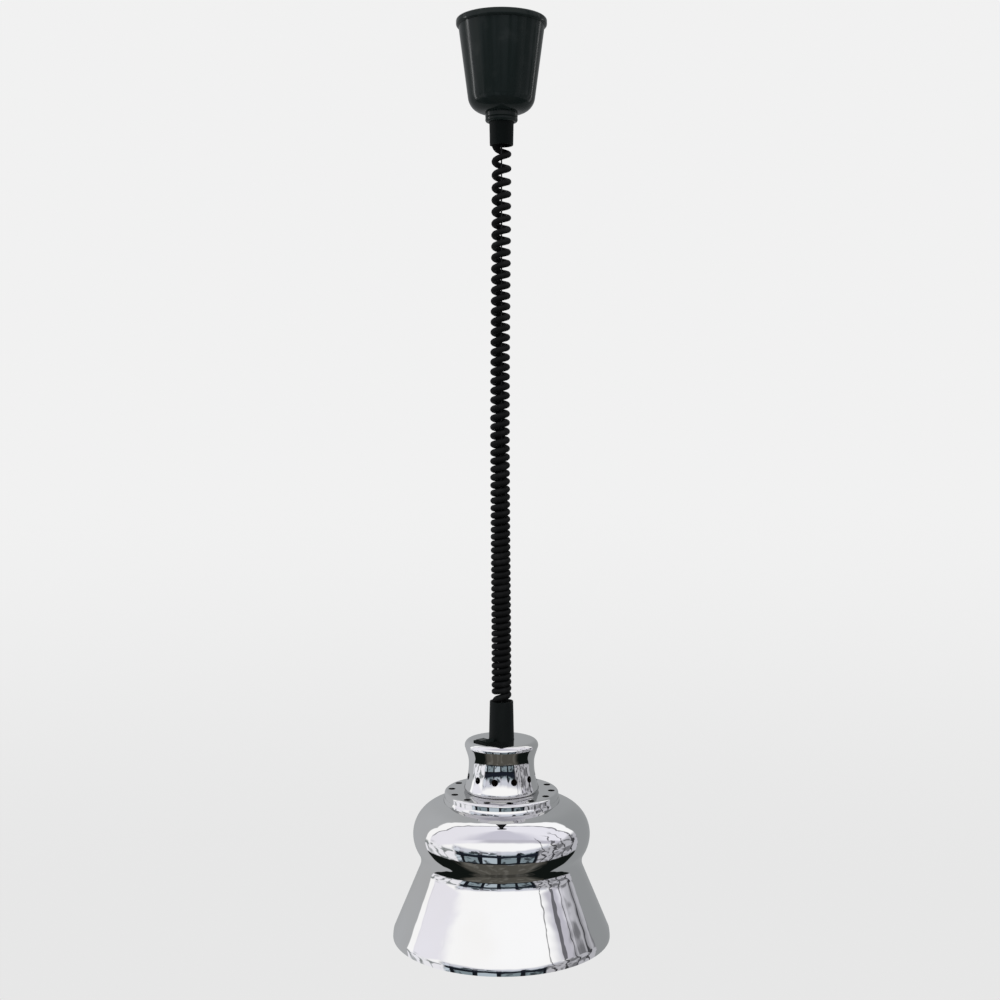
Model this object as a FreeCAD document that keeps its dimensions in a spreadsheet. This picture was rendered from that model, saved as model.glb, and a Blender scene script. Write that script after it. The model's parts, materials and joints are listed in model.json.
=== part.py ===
import FreeCAD, Part
import math
import os
import re
import Sketcher

Vector = FreeCAD.Vector

# Driving sizes: millimetres, degrees, counts, and shares of the sizes that they follow.
sizes = {
    # clearances and cuts
    "fit_gap": 0.3,
    "slip_gap": 0.08,
    "overrun": 5.0,
    # ceiling cup, its rim bead and its friction collar
    "cup_height": 100.0,
    "cup_top_radius": 47.0,
    "cup_foot_radius": 33.7,
    "cup_corner": 18.0,
    "cup_wall": 2.2,
    "bead_out": 1.5,
    "bead_height": 8.0,
    "bead_round": 2.5,
    "collar_radius": 17.3,
    "collar_height": 10.0,
    "collar_band": 4.4,
    "collar_groove": 0.8,
    "collar_round": 2.6,
    "collar_wall": 1.4,
    "nut_radius": 17.8,
    "nut_height": 3.0,
    # mounting strap and the frame of the cable reel
    "strap_length": 80.0,
    "strap_width": 24.0,
    "strap_thickness": 2.0,
    "slot_spacing": 60.0,
    "slot_length": 10.0,
    "slot_width": 5.0,
    "frame_gap": 26.0,
    "frame_sheet": 1.5,
    "frame_width": 32.0,
    "tab_width": 10.0,
    "rivet_spacing": 20.0,
    "rivet_radius": 1.9,
    "rivet_head_radius": 3.5,
    "rivet_head_height": 1.5,
    "base_length": 44.0,
    "base_width": 34.0,
    "base_thickness": 2.0,
    # cable reel and the cable that carries the lamp
    "axle_drop_share": 0.5,
    "axle_radius": 3.0,
    "axle_end": 2.5,
    "clip_ring_radius": 6.0,
    "clip_ring_thickness": 1.0,
    "spacer_radius": 5.5,
    "drum_share": 0.2,
    "drum_flange_share": 0.28,
    "drum_width": 21.0,
    "drum_side": 1.5,
    "chamber_share": 0.175,
    "spring_turns": 6,
    "spring_strip": 0.6,
    "spring_height": 14.0,
    "cable_diameter": 1.5,
    "cable_bend": 6.0,
    "winding_turns": 7,
    "winding_gap": 0.45,
    "winding_end": 5.5,
    "bush_radius": 3.0,
    "bush_flange_radius": 3.9,
    "bush_flange_height": 1.0,
    "bush_length": 5.0,
    "ferrule_radius": 3.0,
    "ferrule_length": 9.0,
    # sleeves over the ends of the curly cord
    "sleeve_root_radius": 13.4,
    "sleeve_mouth_radius": 12.5,
    "sleeve_bore_radius": 10.9,
    "sleeve_flange_radius": 15.0,
    "sleeve_flange_height": 3.0,
    "top_sleeve_show": 24.5,
    "low_sleeve_show": 41.0,
    "retainer_radius": 21.5,
    "retainer_thickness": 1.5,
    "retainer_spacing": 36.5,
    "room_gap": 0.5,
    # curly cord and the leads that it runs into
    "cord_diameter": 6.2,
    "coil_radius": 7.3,
    "coil_span": 591.6,
    "coil_turns": 65,
    "coil_gap": 0.62,
    "coil_open_share": 0.67,
    "coil_crown_share": 0.7,
    "coil_crown_turns": 1.2,
    "coil_inset": 6.0,
    "coil_lead": 11.0,
    "coil_wander": 1.6,
    "lead_rise": 11.0,
    "lead_bend": 8.0,
    "lead_out": 24.0,
    # terminal block and cord clip on the reel frame
    "block_width": 30.0,
    "block_shift": 2.0,
    "block_depth": 16.5,
    "block_height": 17.0,
    "block_low_share": 0.372,
    "pole_spacing": 10.0,
    "pole_row_spacing": 9.0,
    "pole_well_radius": 2.6,
    "pole_well_depth": 8.0,
    "pole_screw_radius": 2.2,
    "pole_screw_length": 5.0,
    "clip_height": 8.0,
    "clip_near": 6.0,
    "clip_far": 12.0,
    "clip_wall": 1.5,
    "clip_screw_shift": 8.0,
    # small screws, one size all through
    "screw_radius": 1.4,
    "screw_head_radius": 2.75,
    "screw_head_height": 1.8,
    # neck of the lamp
    "neck_height": 53.7,
    "neck_wall": 1.2,
    "lip_radius": 39.1,
    "lip_round": 5.6,
    "waist_radius": 34.7,
    "waist_drop": 24.4,
    "sweep_share": 0.79,
    "foot_radius": 39.8,
    "foot_round": 3.0,
    "foot_turn": 2.0,
    "neck_vents": 11,
    "neck_vent_radius": 3.5,
    "neck_vent_drop": 37.4,
    "neck_vent_turn": -68.6,
    # hanger plate, tie rods and nuts that hold the lamp together
    "hanger_radius": 31.0,
    "hanger_thickness": 2.0,
    "rod_count": 3,
    "rod_circle": 27.0,
    "rod_radius": 2.0,
    "rod_end": 1.5,
    "hex_radius": 4.0,
    "hex_height": 3.2,
    # lampholder
    "holder_drop": 21.0,
    "holder_radius": 21.0,
    "holder_height": 38.0,
    "holder_roof": 8.0,
    "holder_round": 2.5,
    "shell_wall": 0.8,
    "shell_length": 27.0,
    "contact_radius": 4.0,
    "contact_height": 1.2,
    "pillar_circle": 17.6,
    "pillar_radius": 2.5,
    "pillar_spigot_radius": 1.5,
    "pillar_thread": 7.0,
    # vented disc between the neck and the shade
    "flange_radius": 60.5,
    "flange_height": 6.5,
    "flange_wall": 1.2,
    "flange_round": 2.6,
    "flange_bore_radius": 33.0,
    "flange_vents": 14,
    "flange_vent_radius": 3.7,
    "flange_vent_circle": 53.0,
    "flange_vent_turn": -80.7,
    # shade
    "shade_height": 146.3,
    "shade_wall": 1.0,
    "step_radius": 61.7,
    "step_height": 4.3,
    "step_draw": 1.1,
    "step_curve": 14.0,
    "shoulder_share": 0.946,
    "bulge_radius": 93.9,
    "bulge_drop": 38.3,
    "throat_draw": 8.5,
    "throat_fall": 29.0,
    "throat_curve": 19.6,
    "mouth_radius": 115.0,
    "band_height": 6.5,
    "band_flare": 0.6,
    "crown_bore_radius": 46.0,
    "spider_reach": 54.0,
    "spider_thickness": 2.0,
    "spider_ring_radius": 32.0,
    "spider_bore_radius": 23.0,
    "spider_arm_width": 10.0,
    # rocker switch on the top of the neck
    "switch_turn": 222.0,
    "switch_reach": 22.9,
    "bezel_width": 15.0,
    "bezel_length": 21.0,
    "bezel_height": 1.8,
    "housing_width": 13.0,
    "housing_length": 19.0,
    "housing_depth": 13.0,
    "rocker_width": 10.4,
    "rocker_half_length": 7.8,
    "rocker_end_height": 5.8,
    "rocker_middle_height": 4.2,
    "rocker_side_height": 0.5,
    "rocker_foot_depth": 3.5,
    "rocker_foot_half": 4.0,
    "rocker_tilt": 10.0,
    "rocker_room": 1.1,
    "pivot_drop": 1.6,
    "pivot_radius": 1.2,
    "pivot_end": 0.8,
    "spade_spacing": 10.0,
    "spade_width": 4.8,
    "spade_thickness": 0.8,
    "spade_length": 6.0,
    "wire_radius": 1.1,
    "wire_bend": 4.0,
    "wire_straight": 2.0,
    # reflector bulb with a screw cap
    "bulb_length": 168.0,
    "bulb_radius": 62.5,
    "bulb_glass_wall": 1.0,
    "bulb_face_depth": 39.0,
    "bulb_corner": 24.0,
    "bulb_neck_radius": 19.5,
    "bulb_neck_drop": 58.0,
    "bulb_throat_radius": 18.5,
    "bulb_throat_drop": 42.0,
    "cap_radius": 13.1,
    "cap_wall": 0.6,
    "cap_height": 22.0,
    "insulator_height": 4.0,
    "insulator_radius": 11.0,
    "button_radius": 4.6,
    "button_height": 2.0,
    "stem_flare_height": 9.0,
    "stem_radius": 3.6,
    "stem_length": 50.0,
    "filament_radius": 14.0,
    "filament_drop": 18.0,
    "filament_foot": 2.2,
    "filament_wire": 1.0,
}

doc = FreeCAD.newDocument("heat_lamp")
sheet = doc.addObject("Spreadsheet::Sheet", "Sizes")
for row, (name, number) in enumerate(sizes.items(), start=1):
    sheet.set("A%d" % row, name)
    sheet.set("B%d" % row, str(number))
    sheet.setAlias("B%d" % row, name)
doc.recompute()

# Levels below the ceiling, written in the sheet's sizes.
ROOM_BELOW_BASE = ("(cup_wall + nut_height + room_gap + screw_head_height"
                   " + retainer_thickness + sleeve_flange_height)")
BASE_LOW = "(" + ROOM_BELOW_BASE + " - cup_height)"
BASE_TOP = "(" + BASE_LOW + " + base_thickness)"
SLEEVE_END = "(-cup_height - collar_height - top_sleeve_show)"
COIL_END = "(" + SLEEVE_END + " - coil_span)"
NECK_TOP = "(" + COIL_END + " - low_sleeve_show)"
HANGER_TOP = "(" + NECK_TOP + " - neck_wall - sleeve_flange_height)"
HANGER_LOW = "(" + HANGER_TOP + " - hanger_thickness)"
HOLDER_TOP = "(" + NECK_TOP + " - holder_drop)"
FLANGE_TOP = "(" + NECK_TOP + " - neck_height)"
SHADE_TOP = "(" + FLANGE_TOP + " - flange_height)"
SPIDER_TOP = "(" + SHADE_TOP + " - shade_wall)"
SPIDER_LOW = "(" + SPIDER_TOP + " - spider_thickness)"
BULB_TOP = "(" + HOLDER_TOP + " - holder_roof - contact_height - fit_gap)"
CORD_TOP = "(" + SLEEVE_END + " + coil_inset + cord_diameter)"
CORD_LOW = "(" + COIL_END + " - coil_inset - cord_diameter)"
FRAME_FACE = "(frame_gap / 2 + frame_sheet)"
AXLE_LEVEL = "(axle_drop_share * %s)" % BASE_TOP
DRUM_RADIUS = "(-drum_share * %s)" % BASE_TOP
DRUM_FLANGE_RADIUS = "(-drum_flange_share * %s)" % BASE_TOP
CHAMBER_RADIUS = "(-chamber_share * %s)" % BASE_TOP
BLOCK_LOW = "(block_low_share * %s)" % BASE_TOP
BLOCK_MIDDLE = "(%s + block_height / 2)" % BLOCK_LOW
CLIP_MIDDLE = "((%s - clip_ring_radius + %s + lead_rise + lead_bend) / 2)" % (AXLE_LEVEL, BASE_TOP)
CLIP_LOW = "(%s - clip_height / 2)" % CLIP_MIDDLE
ROD_TURN = "(switch_turn + 180)"
PILLAR_TURN = "(switch_turn + 90)"
SHELL_RADIUS = "(cap_radius + fit_gap + shell_wall)"

# Levels and radii closer than this count as the same.
SAME = 1e-4

pieces = []


def bound(text):
    # An expression with the sheet's name put before each of its sizes.
    def sheet_name(word):
        return "Sizes." + word.group() if word.group() in sizes else word.group()

    return re.sub(r"[a-z_]+", sheet_name, text)


def value(text):
    return float(sheet.evalExpression(bound(text)))


def bind(item, path, text):
    item.setExpression(path, bound(text))


def place(item, x="0", y="0", z="0", turn="0", axis=Vector(0, 0, 1)):
    # Puts a piece at its bound place, turned about one axis.
    spot = Vector(value(x), value(y), value(z))
    item.Placement = FreeCAD.Placement(spot, FreeCAD.Rotation(axis, value(turn)))
    for path, text in (("Base.x", x), ("Base.y", y), ("Base.z", z), ("Rotation.Angle", turn)):
        if text != "0":
            bind(item, ".Placement." + path, text)
    return item


def keep(item):
    # Marks a finished piece, which is written to a file of its own.
    pieces.append(item)
    return item


def new_body(label):
    body = doc.addObject("PartDesign::Body", label)
    body.Label = label
    return keep(body)


def new_sketch(body, role, lift="0", turn="0"):
    # A sketch on one of the body's own planes, lifted along its normal or turned about its upright.
    sketch = body.newObject("Sketcher::SketchObject", "Sketch")
    plane = [item for item in body.Origin.OriginFeatures if item.Role == role][0]
    sketch.AttachmentSupport = [(plane, "")]
    sketch.MapMode = "FlatFace"
    turned = FreeCAD.Rotation(Vector(0, 1, 0), value(turn))
    sketch.AttachmentOffset = FreeCAD.Placement(Vector(0, 0, value(lift)), turned)
    if lift != "0":
        bind(sketch, ".AttachmentOffset.Base.z", lift)
    if turn != "0":
        bind(sketch, ".AttachmentOffset.Rotation.Angle", turn)
    return sketch


def pin_point(sketch, edge, end, x, y):
    # Holds one end of an edge at a bound place.
    for kind, text in (("DistanceX", x), ("DistanceY", y)):
        index = sketch.addConstraint(Sketcher.Constraint(kind, -1, 1, edge, end, value(text)))
        if text != "0":
            sketch.renameConstraint(index, "size%d" % index)
            bind(sketch, "Constraints.size%d" % index, text)


def arc_between(start, end, radius, side):
    # The lesser arc from start to end, with its centre on the left (side 1) or right (side -1).
    chord = end - start
    rise = math.sqrt(max(0.0, radius * radius - chord.Length * chord.Length / 4))
    across = Vector(-chord.y, chord.x, 0).normalize()
    centre = start + chord / 2 + across * (rise * side)
    first, last = (start, end) if side > 0 else (end, start)
    angles = [math.atan2(point.y - centre.y, point.x - centre.x) for point in (first, last)]
    return Part.ArcOfCircle(Part.Circle(centre, Vector(0, 0, 1), radius), angles[0], angles[1])


def draw(sketch, steps):
    # A closed outline. A step is a corner (x, y), or (x, y, radius, side) for an arc that ends there.
    points = [Vector(value(step[0]), value(step[1]), 0) for step in steps]
    edges = []
    for number, step in enumerate(steps):
        start = points[number - 1]
        if len(step) == 2:
            edge = sketch.addGeometry(Part.LineSegment(start, points[number]), False)
            ends = (1, 2)
        else:
            edge = sketch.addGeometry(arc_between(start, points[number], value(step[2]), step[3]), False)
            ends = (1, 2) if step[3] > 0 else (2, 1)
        edges.append((edge, ends))
    for number, step in enumerate(steps):
        edge, ends = edges[number]
        following, following_ends = edges[(number + 1) % len(steps)]
        sketch.addConstraint(Sketcher.Constraint("Coincident", edge, ends[1], following, following_ends[0]))
        pin_point(sketch, edge, ends[1], step[0], step[1])
        if len(step) > 2:
            index = sketch.addConstraint(Sketcher.Constraint("Radius", edge, value(step[2])))
            sketch.renameConstraint(index, "size%d" % index)
            bind(sketch, "Constraints.size%d" % index, step[2])


def draw_box(sketch, x, y, width, height):
    # A rectangle about a centre.
    left = "%s - (%s) / 2" % (x, width)
    right = "%s + (%s) / 2" % (x, width)
    low = "%s - (%s) / 2" % (y, height)
    high = "%s + (%s) / 2" % (y, height)
    draw(sketch, [(left, low), (right, low), (right, high), (left, high)])


def draw_circle(sketch, x, y, radius):
    centre = Vector(value(x), value(y), 0)
    edge = sketch.addGeometry(Part.Circle(centre, Vector(0, 0, 1), value(radius)), False)
    pin_point(sketch, edge, 3, x, y)
    index = sketch.addConstraint(Sketcher.Constraint("Radius", edge, value(radius)))
    sketch.renameConstraint(index, "size%d" % index)
    bind(sketch, "Constraints.size%d" % index, radius)


def pad(body, sketch, length, down=False, both=False):
    feature = body.newObject("PartDesign::Pad", "Pad")
    feature.Profile = sketch
    feature.SideType = "Symmetric" if both else "One side"
    feature.Reversed = down
    bind(feature, "Length", length)
    doc.recompute()
    return feature


def pocket(body, sketch, depth="", back=False, both=False):
    # A cut of a given depth, or right through, which has to take something away.
    before = body.Shape.Volume
    feature = body.newObject("PartDesign::Pocket", "Pocket")
    feature.Profile = sketch
    feature.SideType = "Symmetric" if both else "One side"
    feature.Reversed = back
    feature.Type = "Length" if depth else "ThroughAll"
    if depth:
        bind(feature, "Length", depth)
    doc.recompute()
    if not body.Shape.Volume < before:
        raise ValueError(body.Label + ": a pocket cuts nothing")
    return feature


def turn_outline(body, steps):
    # A solid of revolution about the body's upright axis.
    sketch = new_sketch(body, "XZ_Plane")
    draw(sketch, steps)
    feature = body.newObject("PartDesign::Revolution", "Revolution")
    feature.Profile = sketch
    feature.ReferenceAxis = (sketch, ["V_Axis"])
    feature.Angle = 360
    doc.recompute()
    return feature


def around(body, features, count):
    # Copies of features evenly round the upright axis.
    pattern = body.newObject("PartDesign::PolarPattern", "PolarPattern")
    pattern.Originals = features
    pattern.Axis = ([item for item in body.Origin.OriginFeatures if item.Role == "Z_Axis"][0], [""])
    pattern.Angle = 360
    bind(pattern, "Occurrences", count)
    body.Tip = pattern
    doc.recompute()
    return pattern


def round_edges(body, feature, radius, ring_radius, level):
    # Rounds the circular edges of one radius at one level.
    names = []
    for number, edge in enumerate(feature.Shape.Edges, start=1):
        if not isinstance(edge.Curve, Part.Circle):
            continue
        aside = abs(edge.Curve.Radius - value(ring_radius))
        if max(aside, abs(edge.Curve.Center.z - value(level))) < SAME:
            names.append("Edge%d" % number)
    fillet = body.newObject("PartDesign::Fillet", "Fillet")
    fillet.Base = (feature, names)
    bind(fillet, "Radius", radius)
    doc.recompute()
    return fillet


def hollow(body, feature, wall, levels):
    # A shell of one wall inside the solid, open at its flat faces at these levels.
    names = []
    for number, face in enumerate(feature.Shape.Faces, start=1):
        flat = isinstance(face.Surface, Part.Plane)
        if flat and any(abs(face.CenterOfMass.z - value(level)) < SAME for level in levels):
            names.append("Face%d" % number)
    shell = body.newObject("PartDesign::Thickness", "Thickness")
    shell.Base = (feature, names)
    shell.Reversed = True
    shell.Join = 1
    bind(shell, "Value", wall)
    doc.recompute()
    return shell


def bore(body, x, y, radius, depth="", lift="overrun"):
    # An upright hole from above.
    sketch = new_sketch(body, "XY_Plane", lift=lift)
    draw_circle(sketch, x, y, radius)
    return pocket(body, sketch, depth)


def cylinder(radius, height, x="0", y="0", z="0", turn="0", axis=Vector(1, 0, 0)):
    item = doc.addObject("Part::Cylinder", "Cylinder")
    bind(item, "Radius", radius)
    bind(item, "Height", height)
    return place(item, x, y, z, turn, axis)


def box(width, depth, height, x="0", y="0", z="0"):
    item = doc.addObject("Part::Box", "Box")
    for path, text in (("Length", width), ("Width", depth), ("Height", height)):
        bind(item, path, text)
    return place(item, x, y, z)


def cut(base, tool):
    item = doc.addObject("Part::Cut", "Cut")
    item.Base = base
    item.Tool = tool
    return item


def join(items):
    item = doc.addObject("Part::MultiFuse", "Fusion")
    item.Shapes = items
    return item


def group(label, items):
    # Separate like solids that share one node.
    item = doc.addObject("Part::Compound", label)
    item.Links = items
    item.Label = label
    return keep(item)


def named(item, label):
    item.Label = label
    return keep(item)


def screw(length, x, y, z, turn, axis=Vector(1, 0, 0)):
    # A screw whose head seats at its place and whose shank runs along its turned upright.
    shank = cylinder("screw_radius", length)
    head = cylinder("screw_head_radius", "screw_head_height", z="-screw_head_height")
    return place(join([shank, head]), x, y, z, turn, axis)


def ring_piece(outer, inner, height, y, turn="-90"):
    # A ring along the reel's axle.
    return place(cut(cylinder(outer, height), cylinder(inner, height)), y=y, z=AXLE_LEVEL,
                 turn=turn, axis=Vector(1, 0, 0))


def biarc(start, heading, end, end_heading):
    # Two arcs that leave start along one heading and reach end along the other.
    span = end - start
    both = heading + end_heading
    bend = 2 * (1 - heading.dot(end_heading))
    reach = (math.sqrt(span.dot(both) ** 2 + bend * span.dot(span)) - span.dot(both)) / bend
    knees = (start + heading * reach, end - end_heading * reach)
    middle = (knees[0] + knees[1]) / 2
    return [knee_arc(start, knees[0], middle), knee_arc(middle, knees[1], end)]


def knee_arc(start, knee, end):
    # The arc inside an even knee.
    half_chord = (end - start).Length / 2
    flatness = half_chord / (knee - start).Length
    foot = (start + end) / 2
    return Part.Arc(start, foot + (knee - foot) * (flatness / (1 + flatness)), end).toShape()


def straight(start, end):
    return Part.LineSegment(start, end).toShape()


def tube(label, edges, diameter, spot=Vector(0, 0, 0)):
    # One unbroken tube along a chain of lines and arcs.
    path = Part.Wire(edges)
    heading = path.Edges[0].tangentAt(path.Edges[0].FirstParameter)
    profile = Part.Wire(Part.makeCircle(diameter / 2, path.Edges[0].Vertexes[0].Point, heading))
    item = doc.addObject("Part::Feature", label)
    item.Shape = path.makePipeShell([profile], True, False)
    item.Placement = FreeCAD.Placement(spot, FreeCAD.Rotation())
    expected = math.pi * diameter * diameter / 4 * path.Length
    print("%s: %.1f mm long, volume %.4f of its section times its length"
          % (label, path.Length, item.Shape.Volume / expected))
    return named(item, label)


def least_gap(points, per_turn, diameter):
    # The least clear distance between a coil's neighbouring turns, on points along its line.
    gap = math.inf
    for number, point in enumerate(points):
        for other in points[number + per_turn // 2:number + per_turn * 3 // 2]:
            gap = min(gap, (other - point).Length - diameter)
    return gap


# Ceiling side: strap, reel frame and base plate
def mounting_strap():
    body = new_body("mounting_strap")
    sketch = new_sketch(body, "XY_Plane")
    draw_box(sketch, "0", "0", "strap_length", "strap_width")
    pad(body, sketch, "strap_thickness", down=True)
    inner = "slot_spacing / 2 - (slot_length - slot_width) / 2"
    outer = "slot_spacing / 2 + (slot_length - slot_width) / 2"
    low = "-slot_width / 2"
    high = "slot_width / 2"
    sketch = new_sketch(body, "XY_Plane", lift="overrun")
    draw(sketch, [(outer, low), (outer + " + slot_width / 2", "0", high, 1), (outer, high, high, 1),
                  (inner, high), (inner + " - slot_width / 2", "0", high, 1), (inner, low, high, 1)])
    around(body, [pocket(body, sketch)], "2")
    hole = bore(body, "rivet_spacing / 2", "0", "rivet_radius + slip_gap")
    around(body, [hole], "2")


def reel_frame():
    body = new_body("reel_frame")
    inner = "frame_gap / 2"
    drop = "(-strap_thickness - " + BASE_TOP + ")"
    low = "-" + drop + " - base_thickness"
    sketch = new_sketch(body, "YZ_Plane")
    draw(sketch, [("-" + FRAME_FACE, "0"), (FRAME_FACE, "0"), (FRAME_FACE, low), (inner, low),
                  (inner, "-frame_sheet"), ("-" + inner, "-frame_sheet"), ("-" + inner, low),
                  ("-" + FRAME_FACE, low)])
    pad(body, sketch, "frame_width", both=True)
    sketch = new_sketch(body, "XZ_Plane")
    for side in ("", "-"):
        tab = side + "tab_width / 2"
        outside = side + "(frame_width / 2 + overrun)"
        draw(sketch, [(tab, "-" + drop), (outside, "-" + drop), (outside, low + " - overrun"),
                      (tab, low + " - overrun")])
    pocket(body, sketch, both=True)
    sketch = new_sketch(body, "XZ_Plane")
    draw_circle(sketch, "0", "strap_thickness + " + AXLE_LEVEL, "axle_radius + slip_gap")
    pocket(body, sketch, both=True)
    sketch = new_sketch(body, "XZ_Plane")
    window = "cord_diameter + 2 * fit_gap"
    draw_box(sketch, "-coil_radius", BASE_TOP + " + lead_rise + strap_thickness", window, window)
    draw_circle(sketch, "clip_screw_shift - coil_radius", "strap_thickness + " + CLIP_MIDDLE,
                "screw_radius + slip_gap")
    for side in ("-", "+"):
        draw_circle(sketch, "-block_shift %s pole_spacing / 2" % side,
                    "strap_thickness + " + BLOCK_MIDDLE, "screw_radius + slip_gap")
    pocket(body, sketch)
    hole = bore(body, "rivet_spacing / 2", "0", "rivet_radius + slip_gap", "overrun + 2 * frame_sheet")
    around(body, [hole], "2")
    place(body, z="-strap_thickness")


def strap_rivets():
    stack = "strap_thickness + frame_sheet"
    rivets = []
    for side in ("", "-"):
        x = side + "rivet_spacing / 2"
        shank = cylinder("rivet_radius", stack, x, "0", "-(%s)" % stack)
        head = cylinder("rivet_head_radius", "rivet_head_height", x, "0", "-(%s) - rivet_head_height" % stack)
        rivets.append(join([shank, head]))
    group("strap_rivets", rivets)


def base_plate():
    body = new_body("base_plate")
    sketch = new_sketch(body, "XY_Plane")
    draw_box(sketch, "0", "0", "base_length", "base_width")
    pad(body, sketch, "base_thickness", down=True)
    bore(body, "0", "0", "bush_radius + slip_gap")
    bore(body, "-coil_radius", "0", "cord_diameter / 2 + fit_gap")
    around(body, [bore(body, "retainer_spacing / 2", "0", "screw_radius + slip_gap")], "2")
    sketch = new_sketch(body, "XY_Plane", lift="overrun")
    for side in ("", "-"):
        draw_box(sketch, "0", side + "(frame_gap + frame_sheet) / 2", "tab_width + 2 * slip_gap",
                 "frame_sheet + 2 * slip_gap")
    pocket(body, sketch)
    place(body, z=BASE_TOP)


# Cable reel
def reel_axle():
    length = "2 * (%s + clip_ring_thickness + axle_end)" % FRAME_FACE
    axle = cylinder("axle_radius", length, y="-(%s) / 2" % length, z=AXLE_LEVEL, turn="-90")
    named(axle, "reel_axle")
    thickness = "clip_ring_thickness"
    group("axle_clips", [ring_piece("clip_ring_radius", "axle_radius + slip_gap", thickness, start)
                         for start in (FRAME_FACE, "-%s - %s" % (FRAME_FACE, thickness))])
    thickness = "(frame_gap - drum_width) / 2 - slip_gap"
    group("reel_spacers", [ring_piece("spacer_radius", "axle_radius + slip_gap", thickness, start)
                           for start in ("drum_width / 2 + slip_gap", "-frame_gap / 2")])


def reel_drum():
    drum = new_body("reel_drum")
    end = "drum_width / 2"
    hub = "axle_radius + slip_gap"
    turn_outline(drum, [
        (hub, "-" + end), (DRUM_FLANGE_RADIUS, "-" + end), (DRUM_FLANGE_RADIUS, "drum_side - " + end),
        (DRUM_RADIUS, "drum_side - " + end), (DRUM_RADIUS, end + " - drum_side"),
        (DRUM_FLANGE_RADIUS, end + " - drum_side"), (DRUM_FLANGE_RADIUS, end), (CHAMBER_RADIUS, end),
        (CHAMBER_RADIUS, "2 * drum_side - " + end), (hub, "2 * drum_side - " + end)])
    place(drum, z=AXLE_LEVEL, turn="-90", axis=Vector(1, 0, 0))
    cover = new_body("drum_cover")
    rim = CHAMBER_RADIUS + " - slip_gap"
    turn_outline(cover, [(hub, "0"), (rim, "0"), (rim, "drum_side"), (hub, "drum_side")])
    place(cover, y="drum_width / 2 - drum_side", z=AXLE_LEVEL, turn="-90", axis=Vector(1, 0, 0))


def mainspring():
    # A flat spiral of half turns, each about the other one of two centres.
    first = value("axle_radius + fit_gap + spring_strip / 2")
    last = value(CHAMBER_RADIUS + " - fit_gap - spring_strip / 2")
    half = value("spring_strip / 2")
    step = (last - first) / (2 * value("spring_turns"))
    sides = {1: [], -1: []}
    for number in range(2 * int(value("spring_turns"))):
        radius = first + step * number
        centre = 0.0 if number % 2 == 0 else step
        way = 1 if number % 2 == 0 else -1
        for side, edges in sides.items():
            reach = radius + side * half
            arc = Part.Arc(Vector(centre + way * reach, 0, 0), Vector(centre, way * reach, 0),
                           Vector(centre - way * reach, 0, 0))
            edges.append(arc.toShape())
    ends = []
    for number in (0, -1):
        outer, inner = (sides[side][number].Vertexes[number].Point for side in (1, -1))
        ends.append(straight(outer, inner))
    outline = Part.Wire(Part.__sortEdges__(sides[1] + sides[-1] + ends))
    strip = doc.addObject("Part::Feature", "mainspring")
    strip.Shape = Part.Face(outline).extrude(Vector(0, 0, value("spring_height")))
    start = value("2 * drum_side - drum_width / 2 + (drum_width - 3 * drum_side - spring_height) / 2")
    strip.Placement = FreeCAD.Placement(Vector(0, start, value(AXLE_LEVEL)),
                                        FreeCAD.Rotation(Vector(1, 0, 0), -90))
    named(strip, "mainspring")


def cable_winding():
    # Turns of the cable on the drum, ending where the run to the guide leaves it.
    diameter = value("cable_diameter")
    pitch = diameter + value("winding_gap")
    radius = value(DRUM_RADIUS + " + slip_gap") + diameter / 2
    turns = int(value("winding_turns"))
    rise = pitch / (2 * math.pi)

    def spot(half):
        angle = math.pi * half
        return Vector(radius * math.cos(angle), half * pitch / 2, radius * math.sin(angle))

    def heading(half):
        angle = math.pi * half
        return Vector(-radius * math.sin(angle), rise, radius * math.cos(angle)).normalize()

    edges = []
    for half in range(2 * turns):
        edges += biarc(spot(half), heading(half), spot(half + 1), heading(half + 1))
    per_turn = 24
    points = [point for edge in edges for point in edge.discretize(per_turn // 4 + 1)[:-1]]
    print("cable winding: least gap to itself %.2f mm" % least_gap(points, per_turn, diameter))
    start = value("winding_end") - turns * pitch
    tube("cable_winding", edges, diameter, Vector(0, start, value(AXLE_LEVEL)))


def cable_run():
    # From the guide bush up to the drum, stopping clear of the turns that move with it.
    diameter = value("cable_diameter")
    radius = value(DRUM_RADIUS + " + slip_gap") + diameter / 2
    low = Vector(0, 0, value(BASE_TOP + " - bush_length"))
    bend_start = Vector(0, 0, value(BASE_TOP + " + bush_flange_height + slip_gap"))
    knee = bend_start
    for _ in range(4):
        depth = value(AXLE_LEVEL) - knee.z
        lean = math.asin(radius / depth)
        free = math.sqrt(depth * depth - radius * radius)
        leave = Vector(free * math.sin(lean), value("winding_end"), knee.z + free * math.cos(lean))
        heading = (leave - knee).normalize()
        half_turn = math.acos(heading.z) / 2
        reach = value("cable_bend") * math.tan(half_turn)
        knee = bend_start + Vector(0, 0, reach)
    short = math.sqrt((radius + diameter + value("fit_gap")) ** 2 - radius * radius)
    bend_end = knee + heading * reach
    stop = leave - heading * short
    edges = [straight(low, bend_start), knee_arc(bend_start, knee, bend_end), straight(bend_end, stop)]
    tube("cable_run", edges, diameter)


def guide_bush():
    body = new_body("guide_bush")
    hole = "cable_diameter / 2 + fit_gap"
    turn_outline(body, [(hole, "-bush_length"), ("bush_radius", "-bush_length"), ("bush_radius", "0"),
                        ("bush_flange_radius", "0"), ("bush_flange_radius", "bush_flange_height"),
                        (hole, "bush_flange_height")])
    place(body, z=BASE_TOP)


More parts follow.
